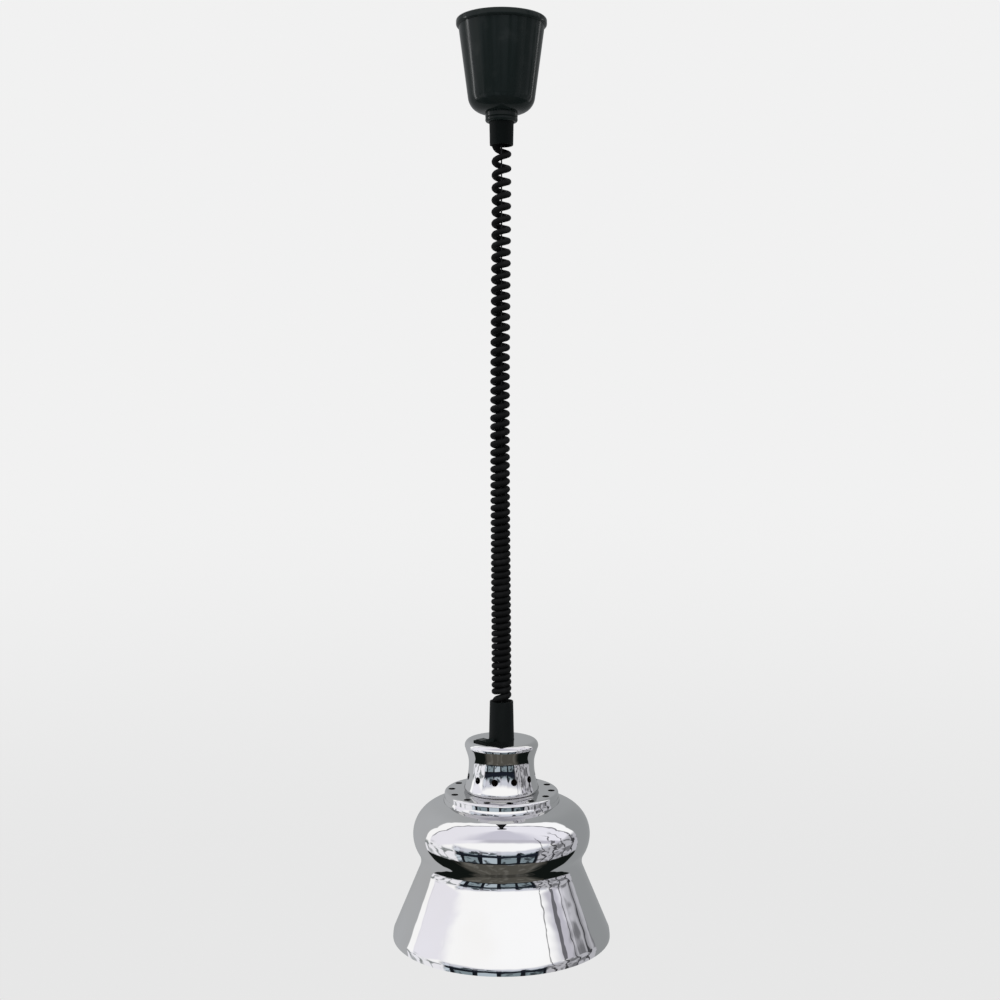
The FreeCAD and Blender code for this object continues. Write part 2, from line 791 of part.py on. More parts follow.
# Sleeves over the cord's two ends
def sleeve(label, length, z, turn):
    body = new_body(label)
    turn_outline(body, [("sleeve_bore_radius", "0"), ("sleeve_flange_radius", "0"),
                        ("sleeve_flange_radius", "-sleeve_flange_height"),
                        ("sleeve_root_radius", "-sleeve_flange_height"),
                        ("sleeve_mouth_radius", "-(%s)" % length), ("sleeve_bore_radius", "-(%s)" % length)])
    place(body, z=z, turn=turn, axis=Vector(1, 0, 0))


def sleeve_retainer():
    body = new_body("sleeve_retainer")
    inner = "sleeve_root_radius + fit_gap"
    turn_outline(body, [(inner, "0"), ("retainer_radius", "0"), ("retainer_radius", "-retainer_thickness"),
                        (inner, "-retainer_thickness")])
    around(body, [bore(body, "retainer_spacing / 2", "0", "screw_radius + slip_gap")], "2")
    place(body, z=BASE_LOW + " - sleeve_flange_height")
    length = "retainer_thickness + sleeve_flange_height + base_thickness"
    seat = BASE_LOW + " - sleeve_flange_height - retainer_thickness"
    group("retainer_screws", [screw(length, side + "retainer_spacing / 2", "0", seat, "0")
                              for side in ("", "-")])


# Terminal block and cord clip on the frame's rear cheek
def terminal_block():
    body = box("block_width", "block_depth", "block_height", "-block_shift - block_width / 2",
               FRAME_FACE, BLOCK_LOW)
    face = FRAME_FACE + " + block_depth"
    wells = []
    screws = []
    for pole in (-1, 0, 1):
        for row in ("-", "+"):
            x = "%d * pole_spacing - block_shift" % pole
            z = "%s %s pole_row_spacing / 2" % (BLOCK_MIDDLE, row)
            wells.append(cylinder("pole_well_radius", "pole_well_depth", x, face, z, "90"))
            screws.append(cylinder("pole_screw_radius", "pole_screw_length", x,
                                   face + " - pole_well_depth + pole_screw_length", z, "90"))
    fixings = []
    for side in ("-", "+"):
        x = "-block_shift %s pole_spacing / 2" % side
        wells.append(cylinder("screw_radius + slip_gap", "block_depth", x, face, BLOCK_MIDDLE, "90"))
        fixings.append(screw("block_depth + frame_sheet", x, face, BLOCK_MIDDLE, "90"))
    named(cut(body, join(wells)), "terminal_block")
    group("terminal_screws", screws)
    group("block_screws", fixings)


def cord_clip():
    depth = "(lead_out + cord_diameter / 2 + clip_wall - %s)" % FRAME_FACE
    body = box("clip_near + clip_far", depth, "clip_height", "-coil_radius - clip_near", FRAME_FACE, CLIP_LOW)
    cord_hole = cylinder("cord_diameter / 2 + slip_gap", "clip_height", "-coil_radius", "lead_out", CLIP_LOW)
    x = "clip_screw_shift - coil_radius"
    face = FRAME_FACE + " + " + depth
    screw_hole = cylinder("screw_radius + slip_gap", depth, x, face, CLIP_MIDDLE, "90")
    named(cut(body, join([cord_hole, screw_hole])), "cord_clip")
    named(screw(depth + " + frame_sheet", x, face, CLIP_MIDDLE, "90"), "clip_screw")


# Leads and the curly cord
def upper_lead():
    x = -value("coil_radius")
    bend = value("lead_bend")
    level = value(BASE_TOP + " + lead_rise")
    out = value("lead_out")
    turned = bend * math.sqrt(0.5)
    marks = [Vector(x, 0, value(CORD_TOP)), Vector(x, 0, level - bend), Vector(x, bend, level),
             Vector(x, out - bend, level), Vector(x, out, level + bend), Vector(x, out, value(BLOCK_LOW))]
    first_middle = Vector(x, bend - turned, level - bend + turned)
    last_middle = Vector(x, out - bend + turned, level + bend - turned)
    edges = [straight(marks[0], marks[1]), Part.Arc(marks[1], first_middle, marks[2]).toShape(),
             straight(marks[2], marks[3]), Part.Arc(marks[3], last_middle, marks[4]).toShape(),
             straight(marks[4], marks[5])]
    tube("upper_lead", edges, value("cord_diameter"))


def coil_depth(turn):
    # How far a turn hangs below the first one: closed turns at the foot, opened by their own weight above.
    turns = value("coil_turns") - 0.5
    closed = value("cord_diameter + coil_gap")
    span = value("coil_span + 2 * coil_inset - 2 * coil_lead")

    def opened(count):
        hung = min(count, value("coil_open_share") * turns)
        crown = value("coil_crown_turns")
        return (hung - hung * hung / (2 * value("coil_open_share") * turns)
                + value("coil_crown_share") * crown * (1 - math.exp(-count / crown)))

    return turn * closed + (span - turns * closed) * opened(turn) / opened(turns)


def curly_cord():
    # A right-handed helix that starts and ends on the left, straight and upright inside the two sleeves.
    radius = value("coil_radius")
    diameter = value("cord_diameter")
    turns = value("coil_turns")
    span = value("coil_span + 2 * coil_inset")
    top = value(SLEEVE_END + " + coil_inset")
    lead = value("coil_lead")
    quarter = 0.25

    def line(turn):
        # A point of the helix, whose axis strays a little to the left on its way down.
        depth = lead + coil_depth(turn - quarter)
        stray = value("coil_wander") * (1 - math.cos(2 * math.pi * depth / span)) / 2
        angle = math.pi - 2 * math.pi * turn
        return Vector(radius * math.cos(angle) - stray, radius * math.sin(angle), top - depth)

    def heading(turn):
        small = 1e-4
        return (line(turn + small) - line(turn - small)).normalize()

    stops = [quarter, 2 * quarter]
    while stops[-1] + 0.5 < turns - quarter:
        stops.append(stops[-1] + 0.5)
    stops.append(turns - quarter)
    down = Vector(0, 0, -1)
    start = Vector(-radius, 0, top)
    end = Vector(-radius, 0, top - span)
    edges = [straight(start - down * diameter, start)]
    edges += biarc(start, down, line(stops[0]), heading(stops[0]))
    for before, after in zip(stops, stops[1:]):
        edges += biarc(line(before), heading(before), line(after), heading(after))
    edges += biarc(line(stops[-1]), heading(stops[-1]), end, down)
    edges.append(straight(end, end + down * diameter))
    per_turn = 24
    points = [point for edge in edges for point in edge.discretize(per_turn // 4 + 1)[:-1]]
    tightest = min(edge.Curve.Radius for edge in edges if isinstance(edge.Curve, Part.Circle))
    print("curly cord: %d turns, least gap to itself %.2f mm, tightest arc %.1f mm"
          % (turns, least_gap(points, per_turn, diameter), tightest))
    tube("curly_cord", edges, diameter)


def suspension_cable():
    top = BASE_TOP + " - bush_length"
    low = HANGER_LOW + " - ferrule_length"
    named(cylinder("cable_diameter / 2", "(%s) - (%s)" % (top, low), z=low), "suspension_cable")
    named(cylinder("cord_diameter / 2", "%s - %s" % (CORD_LOW, HOLDER_TOP), "-coil_radius", "0", HOLDER_TOP),
          "lower_lead")


# Ceiling cup
def ceiling_cup():
    # A tapered wall with a bead at its rim: outer line down, inner line back.
    body = new_body("ceiling_cup")
    hole = "sleeve_root_radius + fit_gap + collar_wall + slip_gap"
    lean = "atan((cup_top_radius - cup_foot_radius) / cup_height)"
    inset = "(cup_foot_radius - cup_corner * (1 - sin(%s)) / cos(%s))" % (lean, lean)
    rise = "(cup_corner - cup_height)"
    bead = "cup_top_radius + bead_out"
    turn_outline(body, [
        ("cup_top_radius - cup_wall / cos(%s)" % lean, "0"), (bead + " - bead_round", "0"),
        (bead, "-bead_round", "bead_round", -1), (bead, "bead_round - bead_height"),
        ("cup_top_radius - bead_height * tan(%s)" % lean, "-bead_height", "bead_round", -1),
        ("%s + cup_corner * cos(%s)" % (inset, lean), "%s - cup_corner * sin(%s)" % (rise, lean)),
        (inset, "-cup_height", "cup_corner", -1), (hole, "-cup_height"), (hole, "cup_wall - cup_height"),
        (inset, "cup_wall - cup_height"),
        ("%s + (cup_corner - cup_wall) * cos(%s)" % (inset, lean),
         "%s - (cup_corner - cup_wall) * sin(%s)" % (rise, lean), "cup_corner - cup_wall", 1)])


def cup_collar():
    body = new_body("cup_collar")
    hole = "sleeve_root_radius + fit_gap"
    spigot = hole + " + collar_wall"
    top = "cup_wall + nut_height"
    turn_outline(body, [
        (hole, top), (spigot, top), (spigot, "0"), ("collar_radius", "0"), ("collar_radius", "-collar_band"),
        ("collar_radius - collar_groove", "-collar_band - collar_groove"),
        ("collar_radius", "-collar_band - 2 * collar_groove"),
        ("collar_radius", "collar_round - collar_height"),
        ("collar_radius - collar_round", "-collar_height", "collar_round", -1), (hole, "-collar_height")])
    place(body, z="-cup_height")
    nut = new_body("collar_nut")
    sketch = new_sketch(nut, "XY_Plane")
    draw_circle(sketch, "0", "0", "nut_radius")
    pad(nut, sketch, "nut_height")
    bore(nut, "0", "0", spigot + " + slip_gap", lift="nut_height + overrun")
    place(nut, z="cup_wall - cup_height")


# Lamp head: neck, hanger and lampholder
def neck_shell():
    # A spun wall, drawn as its outer line going down and its inner line coming back.
    body = new_body("neck_shell")
    hole = "sleeve_root_radius + fit_gap"
    fall = "(waist_drop - lip_round)"
    draw_in = "(lip_radius - waist_radius)"
    sweep = "(sweep_share * ((%s^2 + %s^2) / (2 * %s) - lip_round))" % (draw_in, fall, draw_in)
    across = "(%s + lip_round - %s)" % (sweep, draw_in)
    reach = "sqrt(%s^2 + %s^2)" % (across, fall)
    lean = "(atan2(%s; %s) - acos((lip_round + %s) / %s))" % (fall, across, sweep, reach)
    flare = "(foot_radius - waist_radius)"
    length = "(neck_height - foot_round - waist_drop)"
    skirt = "((%s^2 + %s^2) / (2 * %s))" % (flare, length, flare)

    def under_lip(radius):
        return ("lip_radius - lip_round + %s * cos(%s)" % (radius, lean),
                "-lip_round - %s * sin(%s)" % (radius, lean))

    def over_waist(radius):
        return ("waist_radius + %s - %s * cos(%s)" % (sweep, radius, lean),
                "%s * sin(%s) - waist_drop" % (radius, lean))

    inner_lip = "(lip_round - neck_wall)"
    inner_sweep = "(%s + neck_wall)" % sweep
    foot_end = "foot_radius - foot_round - foot_turn"
    turn_outline(body, [
        (hole, "0"), ("lip_radius - lip_round", "0"), ("lip_radius", "-lip_round", "lip_round", -1),
        (*under_lip("lip_round"), "lip_round", -1), over_waist(sweep),
        ("waist_radius", "-waist_drop", sweep, 1),
        ("foot_radius", "foot_round - neck_height", skirt, 1),
        ("foot_radius - foot_round", "-neck_height", "foot_round", -1),
        (foot_end, "-neck_height"), (foot_end, "neck_wall - neck_height"),
        ("foot_radius - foot_round", "neck_wall - neck_height"),
        ("foot_radius - neck_wall", "foot_round - neck_height", "foot_round - neck_wall", 1),
        ("waist_radius - neck_wall", "-waist_drop", skirt, -1),
        (*over_waist(inner_sweep), inner_sweep, -1), under_lip(inner_lip),
        ("lip_radius - neck_wall", "-lip_round", inner_lip, 1),
        ("lip_radius - lip_round", "-neck_wall", inner_lip, 1), (hole, "-neck_wall")])
    sketch = new_sketch(body, "XY_Plane", lift="overrun")
    turned_box(sketch, "switch_reach", "housing_width + 2 * slip_gap", "housing_length + 2 * slip_gap")
    pocket(body, sketch, "overrun + 2 * neck_wall")
    sketch = new_sketch(body, "YZ_Plane", turn="neck_vent_turn")
    draw_circle(sketch, "0", "-neck_vent_drop", "neck_vent_radius")
    around(body, [pocket(body, sketch, back=True)], "neck_vents")
    place(body, z=NECK_TOP)


def turned_box(sketch, reach, width, length):
    # A rectangle that faces outwards at the switch.
    corners = []
    for out, across in ((-1, -1), (1, -1), (1, 1), (-1, 1)):
        along = "(%s + %d * (%s) / 2)" % (reach, out, width)
        aside = "(%d * (%s) / 2)" % (across, length)
        corners.append(("%s * cos(switch_turn) - %s * sin(switch_turn)" % (along, aside),
                        "%s * sin(switch_turn) + %s * cos(switch_turn)" % (along, aside)))
    draw(sketch, corners)


def on_circle(radius, turn):
    return "%s * cos(%s)" % (radius, turn), "%s * sin(%s)" % (radius, turn)


def hanger_plate():
    body = new_body("hanger_plate")
    sketch = new_sketch(body, "XY_Plane")
    draw_circle(sketch, "0", "0", "hanger_radius")
    pad(body, sketch, "hanger_thickness", down=True)
    bore(body, "0", "0", "cable_diameter / 2 + fit_gap")
    bore(body, "-coil_radius", "0", "cord_diameter / 2 + fit_gap")
    sketch = new_sketch(body, "XY_Plane", lift="overrun")
    turned_box(sketch, "switch_reach + overrun", "housing_width + 2 * overrun",
               "housing_length + 2 * fit_gap")
    pocket(body, sketch)
    x, y = on_circle("pillar_circle", PILLAR_TURN)
    around(body, [bore(body, x, y, "pillar_spigot_radius + slip_gap")], "2")
    x, y = on_circle("rod_circle", ROD_TURN)
    around(body, [bore(body, x, y, "rod_radius + slip_gap")], "rod_count")
    place(body, z=HANGER_TOP)


def tie_rods():
    top = NECK_TOP + " - neck_wall"
    low = SPIDER_LOW + " - hex_height - rod_end"
    rods = []
    nuts = {"hanger_nuts": HANGER_LOW, "spider_nuts": SPIDER_LOW}
    rings = {label: [] for label in nuts}
    for number in range(int(value("rod_count"))):
        x, y = on_circle("rod_circle", "(%s + %d * 360 / rod_count)" % (ROD_TURN, number))
        rods.append(cylinder("rod_radius", "(%s) - (%s)" % (top, low), x, y, low))
        for label, seat in nuts.items():
            prism = doc.addObject("Part::Prism", "Prism")
            bind(prism, "Circumradius", "hex_radius")
            bind(prism, "Height", "hex_height")
            ring = cut(prism, cylinder("rod_radius + slip_gap", "hex_height"))
            rings[label].append(place(ring, x, y, seat + " - hex_height"))
    group("tie_rods", rods)
    for label, items in rings.items():
        group(label, items)


def cable_ferrule():
    body = cylinder("ferrule_radius", "ferrule_length")
    ferrule = cut(body, cylinder("cable_diameter / 2 + slip_gap", "ferrule_length"))
    named(place(ferrule, z=HANGER_LOW + " - ferrule_length"), "cable_ferrule")


def lampholder():
    body = new_body("lampholder_body")
    deep = "-holder_roof"
    end = "-holder_height"
    hole = SHELL_RADIUS + " + slip_gap"
    solid = turn_outline(body, [("0", "0"), ("holder_radius", "0"), ("holder_radius", end), (hole, end),
                                (hole, deep), ("0", deep)])
    for level in ("0", end):
        solid = round_edges(body, solid, "holder_round", "holder_radius", level)
    x, y = on_circle("pillar_circle", PILLAR_TURN)
    around(body, [bore(body, x, y, "screw_radius + slip_gap")], "2")
    place(body, z=HOLDER_TOP)
    shell = cut(cylinder(SHELL_RADIUS, "shell_length"), cylinder("cap_radius + fit_gap", "shell_length"))
    named(place(shell, z=HOLDER_TOP + " - holder_roof - shell_length"), "lampholder_shell")
    named(cylinder("contact_radius", "contact_height", z=HOLDER_TOP + " - holder_roof - contact_height"),
          "centre_contact")


def holder_pillars():
    length = "(%s - %s)" % (HANGER_LOW, HOLDER_TOP)
    pillars = []
    screws = []
    for number in (0, 1):
        x, y = on_circle("pillar_circle", "(%s + %d * 180)" % (PILLAR_TURN, number))
        body = join([cylinder("pillar_radius", length),
                     cylinder("pillar_spigot_radius", length + " + hanger_thickness")])
        pillar = cut(body, cylinder("screw_radius + slip_gap", "pillar_thread"))
        pillars.append(place(pillar, x, y, HOLDER_TOP))
        screws.append(screw("holder_height + pillar_thread - fit_gap", x, y,
                            HOLDER_TOP + " - holder_height", "0"))
    group("holder_pillars", pillars)
    group("holder_screws", screws)


# Vented disc, shade and the spider that clamps them under the neck
def vent_flange():
    body = new_body("vent_flange")
    solid = turn_outline(body, [("0", "0"), ("flange_radius", "0"), ("flange_radius", "-flange_height"),
                                ("0", "-flange_height")])
    solid = round_edges(body, solid, "flange_round", "flange_radius", "0")
    hollow(body, solid, "flange_wall", ["-flange_height"])
    bore(body, "0", "0", "flange_bore_radius")
    x, y = on_circle("flange_vent_circle", "flange_vent_turn")
    around(body, [bore(body, x, y, "flange_vent_radius")], "flange_vents")
    place(body, z=FLANGE_TOP)


def shade():
    body = new_body("shade")
    out = "(bulge_radius - step_radius)"
    fall = "(bulge_drop - step_height)"
    shoulder = "(shoulder_share * (%s^2 + %s^2) / (2 * %s))" % (out, fall, out)
    inwards = "(%s - %s)" % (shoulder, out)
    turn = "(atan2(%s; %s) - acos(%s / sqrt(%s^2 + %s^2)))" % (fall, inwards, shoulder, fall, inwards)
    both_curves = "((throat_fall^2 + throat_draw^2) / (2 * throat_draw))"
    bulge_curve = "(%s - throat_curve)" % both_curves
    bulge_part = "%s / %s" % (bulge_curve, both_curves)
    throat_middle = "(bulge_radius - throat_draw + throat_curve)"
    throat_drop = "(bulge_drop + throat_fall)"
    band_top = "(shade_height - band_height)"
    band_curve = "((band_flare^2 + band_height^2) / (2 * band_flare))"
    across = "(mouth_radius - band_flare - %s)" % throat_middle
    down = "(%s - %s)" % (band_top, throat_drop)
    slope = "(atan2(%s; %s) + asin(throat_curve / sqrt(%s^2 + %s^2)))" % (across, down, across, down)
    solid = turn_outline(body, [
        ("0", "0"), ("step_radius - step_draw", "0"), ("step_radius", "-step_height", "step_curve", -1),
        ("bulge_radius - %s * (1 - cos(%s))" % (shoulder, turn),
         "%s * sin(%s) - bulge_drop" % (shoulder, turn)),
        ("bulge_radius", "-bulge_drop", shoulder, -1),
        ("bulge_radius - throat_draw * " + bulge_part, "-bulge_drop - throat_fall * " + bulge_part,
         bulge_curve, -1),
        ("%s - throat_curve * cos(%s)" % (throat_middle, slope),
         "-%s - throat_curve * sin(%s)" % (throat_drop, slope), "throat_curve", 1),
        ("mouth_radius - band_flare", "-" + band_top), ("mouth_radius", "-shade_height", band_curve, -1),
        ("0", "-shade_height")])
    hollow(body, solid, "shade_wall", ["-shade_height"])
    bore(body, "0", "0", "crown_bore_radius")
    place(body, z=SHADE_TOP)


def shade_spider():
    body = new_body("shade_spider")
    sketch = new_sketch(body, "XY_Plane")
    draw_circle(sketch, "0", "0", "spider_ring_radius")
    pad(body, sketch, "spider_thickness", down=True)
    sketch = new_sketch(body, "XY_Plane")
    draw_box(sketch, "spider_reach / 2", "0", "spider_reach", "spider_arm_width")
    arm = pad(body, sketch, "spider_thickness", down=True)
    around(body, [arm], "rod_count")
    bore(body, "0", "0", "spider_bore_radius")
    around(body, [bore(body, "rod_circle", "0", "rod_radius + slip_gap")], "rod_count")
    place(body, z=SPIDER_TOP, turn=ROD_TURN)


# Rocker switch
def rocker_switch():
    x, y = on_circle("switch_reach", "switch_turn")
    housing = new_body("switch_housing")
    sketch = new_sketch(housing, "XY_Plane")
    draw_box(sketch, "0", "0", "bezel_width", "bezel_length")
    pad(housing, sketch, "bezel_height")
    sketch = new_sketch(housing, "XY_Plane")
    draw_box(sketch, "0", "0", "housing_width", "housing_length")
    pad(housing, sketch, "housing_depth", down=True)
    room = "pivot_drop + rocker_foot_depth + rocker_foot_half * sin(rocker_tilt) + rocker_room"
    sketch = new_sketch(housing, "XY_Plane", lift="bezel_height")
    draw_box(sketch, "0", "0", "rocker_width + 2 * fit_gap", "2 * (rocker_half_length + rocker_room)")
    pocket(housing, sketch, "bezel_height + " + room)
    sketch = new_sketch(housing, "YZ_Plane")
    draw_circle(sketch, "0", "-pivot_drop", "pivot_radius + slip_gap")
    pocket(housing, sketch, both=True)
    place(housing, x, y, NECK_TOP, "switch_turn")

    rocker = new_body("switch_rocker")
    half = "rocker_half_length"
    sketch = new_sketch(rocker, "YZ_Plane")
    draw(sketch, [("-" + half, "rocker_side_height"), ("-rocker_foot_half", "-rocker_foot_depth"),
                  ("rocker_foot_half", "-rocker_foot_depth"), (half, "rocker_side_height"),
                  (half, "rocker_end_height"), ("0", "rocker_middle_height"),
                  ("-" + half, "rocker_end_height")])
    pad(rocker, sketch, "rocker_width", both=True)
    sketch = new_sketch(rocker, "YZ_Plane")
    draw_circle(sketch, "0", "0", "pivot_radius")
    pad(rocker, sketch, "rocker_width + 2 * (fit_gap + pivot_end)", both=True)
    turned = FreeCAD.Rotation(Vector(0, 0, 1), value("switch_turn")).multiply(
        FreeCAD.Rotation(Vector(1, 0, 0), value("rocker_tilt")))
    level = NECK_TOP + " - pivot_drop"
    rocker.Placement = FreeCAD.Placement(Vector(value(x), value(y), value(level)), turned)
    for path, text in (("x", x), ("y", y), ("z", level)):
        bind(rocker, ".Placement.Base." + path, text)

    spades = []
    for side in ("-", ""):
        spade = box("spade_thickness", "spade_width", "spade_length", "-spade_thickness / 2",
                    side + "spade_spacing / 2 - spade_width / 2", "-housing_depth - spade_length")
        spades.append(spade)
    place(group("switch_terminals", spades), x, y, NECK_TOP, "switch_turn")


def switch_wires():
    # From the inner face of each terminal, inwards and down onto the lampholder.
    radius = value("wire_radius")
    bend = value("wire_bend")
    level = -value("housing_depth + spade_length / 2")
    wires = []
    for side in (-1, 1):
        start = Vector(-value("spade_thickness / 2"), side * value("spade_spacing / 2"), level)
        knee = start - Vector(value("wire_straight") + bend, 0, 0)
        bend_start = knee + Vector(bend, 0, 0)
        bend_end = knee - Vector(0, 0, bend)
        end = Vector(knee.x, knee.y, -value("holder_drop"))
        path = Part.Wire([straight(start, bend_start), knee_arc(bend_start, knee, bend_end),
                          straight(bend_end, end)])
        profile = Part.Wire(Part.makeCircle(radius, start, Vector(-1, 0, 0)))
        wires.append(path.makePipeShell([profile], True, False))
    item = doc.addObject("Part::Feature", "switch_wires")
    item.Shape = Part.makeCompound(wires)
    x, y = on_circle("switch_reach", "switch_turn")
    named(place(item, x, y, NECK_TOP, "switch_turn"), "switch_wires")


# Reflector bulb
def bulb():
    cap_top = "(button_height + insulator_height)"
    cap_low = "(%s + cap_height)" % cap_top
    named(cylinder("button_radius", "button_height", z=BULB_TOP + " - button_height"), "bulb_contact")
    insulator = new_body("bulb_insulator")
    turn_outline(insulator, [("0", "-button_height"), ("button_radius", "-button_height"),
                             ("insulator_radius", "-" + cap_top), ("0", "-" + cap_top)])
    place(insulator, z=BULB_TOP)
    cap = new_body("bulb_cap")
    inner = "cap_radius - cap_wall"
    roof = cap_top + " + cap_wall"
    turn_outline(cap, [("0", "-" + cap_top), ("cap_radius", "-" + cap_top), ("cap_radius", "-" + cap_low),
                       (inner, "-" + cap_low), (inner, "-(%s)" % roof), ("0", "-(%s)" % roof)])
    place(cap, z=BULB_TOP)

    glass = new_body("bulb_glass")
    wide = "(bulb_length - bulb_face_depth)"
    out = "(bulb_radius - bulb_neck_radius)"
    fall = "(%s - bulb_neck_drop)" % wide
    cone = "(%s^2 + %s^2) / (2 * %s)" % (out, fall, out)
    inset = "(bulb_radius - bulb_corner)"
    lens = "((%s^2 + bulb_face_depth^2 - bulb_corner^2) / (2 * (bulb_face_depth - bulb_corner)))" % inset
    centre = "(%s - bulb_length)" % lens
    lean = "((%s - bulb_face_depth) / (%s - bulb_corner))" % (lens, lens)
    spread = "(%s / (%s - bulb_corner))" % (inset, lens)
    wall = "bulb_glass_wall"
    inner = "(%s - %s)" % (lens, wall)
    turn_outline(glass, [
        ("cap_radius - " + wall, "-" + cap_low), ("cap_radius", "-" + cap_low),
        ("bulb_throat_radius", "-bulb_throat_drop"), ("bulb_neck_radius", "-bulb_neck_drop"),
        ("bulb_radius", "-" + wide, cone, -1),
        ("%s * %s" % (spread, lens), "%s - %s * %s" % (centre, lean, lens), "bulb_corner", -1),
        ("0", "-bulb_length", lens, -1), ("0", wall + " - bulb_length"),
        ("%s * %s" % (spread, inner), "%s - %s * %s" % (centre, lean, inner), inner, 1),
        ("bulb_radius - " + wall, "-" + wide, "bulb_corner - " + wall, 1),
        ("bulb_neck_radius - " + wall, "-bulb_neck_drop", cone, 1),
        ("bulb_throat_radius - " + wall, "-bulb_throat_drop")])
    place(glass, z=BULB_TOP)

    stem = new_body("bulb_stem")
    flare_low = "(%s + stem_flare_height)" % cap_low
    stem_low = "(%s + stem_length)" % cap_low
    turn_outline(stem, [("0", "-" + cap_low), ("cap_radius - bulb_glass_wall - fit_gap", "-" + cap_low),
                        ("stem_radius", "-" + flare_low), ("stem_radius", "-" + stem_low),
                        ("0", "-" + stem_low)])
    place(stem, z=BULB_TOP)

    foot = value("filament_foot")
    hoop = value("filament_radius")
    top = -value(stem_low)
    level = top - value("filament_drop")
    marks = [(Vector(-foot, 0, top), Vector(0, 0, -1)), (Vector(-hoop, 0, level), Vector(0, -1, 0)),
             (Vector(0, -hoop, level), Vector(1, 0, 0)), (Vector(hoop, 0, level), Vector(0, 1, 0)),
             (Vector(foot, 0, top), Vector(0, 0, 1))]
    edges = []
    for before, after in zip(marks, marks[1:]):
        edges += biarc(before[0], before[1], after[0], after[1])
    tube("bulb_filament", edges, value("filament_wire"), Vector(0, 0, value(BULB_TOP)))


mounting_strap()
reel_frame()
strap_rivets()
base_plate()
reel_axle()
reel_drum()
mainspring()
cable_winding()
cable_run()
guide_bush()
sleeve("top_sleeve", "%s - %s" % (BASE_LOW, SLEEVE_END), BASE_LOW, "0")
sleeve_retainer()
terminal_block()
cord_clip()
upper_lead()
curly_cord()
suspension_cable()
ceiling_cup()
cup_collar()
sleeve("lower_sleeve", "low_sleeve_show + neck_wall + sleeve_flange_height", HANGER_TOP, "180")
neck_shell()
hanger_plate()
tie_rods()
cable_ferrule()
lampholder()
holder_pillars()
vent_flange()
shade()
shade_spider()
rocker_switch()
switch_wires()
bulb()

doc.recompute()
faults = [item.Label for item in doc.Objects if "Invalid" in item.State or "Error" in item.State]
for item in pieces:
    if item.Shape.isNull() or not item.Shape.isValid() or not item.Shape.Solids:
        faults.append(item.Label)
if faults:
    raise ValueError("these pieces failed: " + ", ".join(faults))

os.makedirs("parts", exist_ok=True)
for item in pieces:
    item.Shape.exportStep("parts/%s.step" % item.Label)
print("%d pieces, %d solids" % (len(pieces), sum(len(item.Shape.Solids) for item in pieces)))
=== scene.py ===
import bpy
import json
import math
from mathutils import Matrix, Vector


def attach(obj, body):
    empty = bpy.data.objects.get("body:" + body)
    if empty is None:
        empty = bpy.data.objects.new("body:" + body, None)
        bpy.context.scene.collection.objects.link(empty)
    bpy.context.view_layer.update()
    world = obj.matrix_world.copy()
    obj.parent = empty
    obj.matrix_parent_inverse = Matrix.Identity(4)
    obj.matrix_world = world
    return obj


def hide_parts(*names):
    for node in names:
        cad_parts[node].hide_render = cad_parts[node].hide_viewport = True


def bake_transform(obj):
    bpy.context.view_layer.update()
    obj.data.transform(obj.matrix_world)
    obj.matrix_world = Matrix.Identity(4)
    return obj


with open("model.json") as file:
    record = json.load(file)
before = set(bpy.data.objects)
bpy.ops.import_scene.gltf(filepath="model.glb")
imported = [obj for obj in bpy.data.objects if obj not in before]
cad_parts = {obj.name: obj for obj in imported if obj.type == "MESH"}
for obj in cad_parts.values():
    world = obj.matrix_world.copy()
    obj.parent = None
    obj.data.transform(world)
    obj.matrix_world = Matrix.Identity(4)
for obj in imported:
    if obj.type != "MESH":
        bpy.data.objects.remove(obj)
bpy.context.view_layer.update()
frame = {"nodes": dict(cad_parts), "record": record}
mm = 0.001     # cords and turned pieces are sized in millimetres, all else in metres

# camera: level with the upper half of the cord and held level, the picture shifted down
cameraSettings = {
    "lens": 50.0,
    "place": (-0.0016, -1.480, -0.4174),
    "shift": -0.089,
    "farthest": 50.0,
}
bpy.ops.object.select_all(action="DESELECT")
bpy.ops.object.camera_add(location=cameraSettings["place"], rotation=(math.radians(90), 0, 0))
camera = bpy.context.object
camera.data.lens = cameraSettings["lens"]
camera.data.shift_y = cameraSettings["shift"]
camera.data.clip_end = cameraSettings["farthest"]
bpy.context.scene.camera = camera
bpy.context.scene.view_settings.view_transform = "Standard"
print("stage: camera set")

# curly cord: one line of helix points, turns closed at the foot and opened by their own weight above
cordSettings = {
    "diameter": 6.2,
    "sheath": 6.7,            # a little fuller than the solid, as in the photograph
    "coilRadius": 7.3,
    "turns": 65,
    "top": -128.5,            # where the straight end turns into the coil
    "span": 603.6,
    "turnGap": 0.62,
    "openShare": 0.67,        # of the turns, counted from the top
    "crownShare": 0.7,        # how much further the topmost turns open
    "crownTurns": 1.2,
    "wander": 1.6,            # sideways, at half height
    "leadDrop": 11.0,         # height in which a straight end turns into the coil
    "leadTurn": 0.25,
    "leadEaseShare": 0.65,
    "leadPower": 1.7,
    "leadPoints": 5,
    "endShares": (0, 0.33, 0.67, 1),     # of the diameter, for the points of a straight end
    "pointsPerTurn": 16,
    "detail": 3,
    "length": 3050.8,
    "stretchFrom": -134.5,
    "stretchTo": -537.5,
}


def coilDepth(turn):
    sizes = cordSettings
    turns = sizes["turns"] - 2 * sizes["leadTurn"]
    closed = sizes["diameter"] + sizes["turnGap"]
    span = sizes["span"] - 2 * sizes["leadDrop"]
    openTurns = sizes["openShare"] * turns

    def opened(count):
        hung = min(count, openTurns)
        crown = sizes["crownShare"] * sizes["crownTurns"] * (1 - math.exp(-count / sizes["crownTurns"]))
        return hung - hung * hung / (2 * openTurns) + crown

    return turn * closed + (span - turns * closed) * opened(turn) / opened(turns)


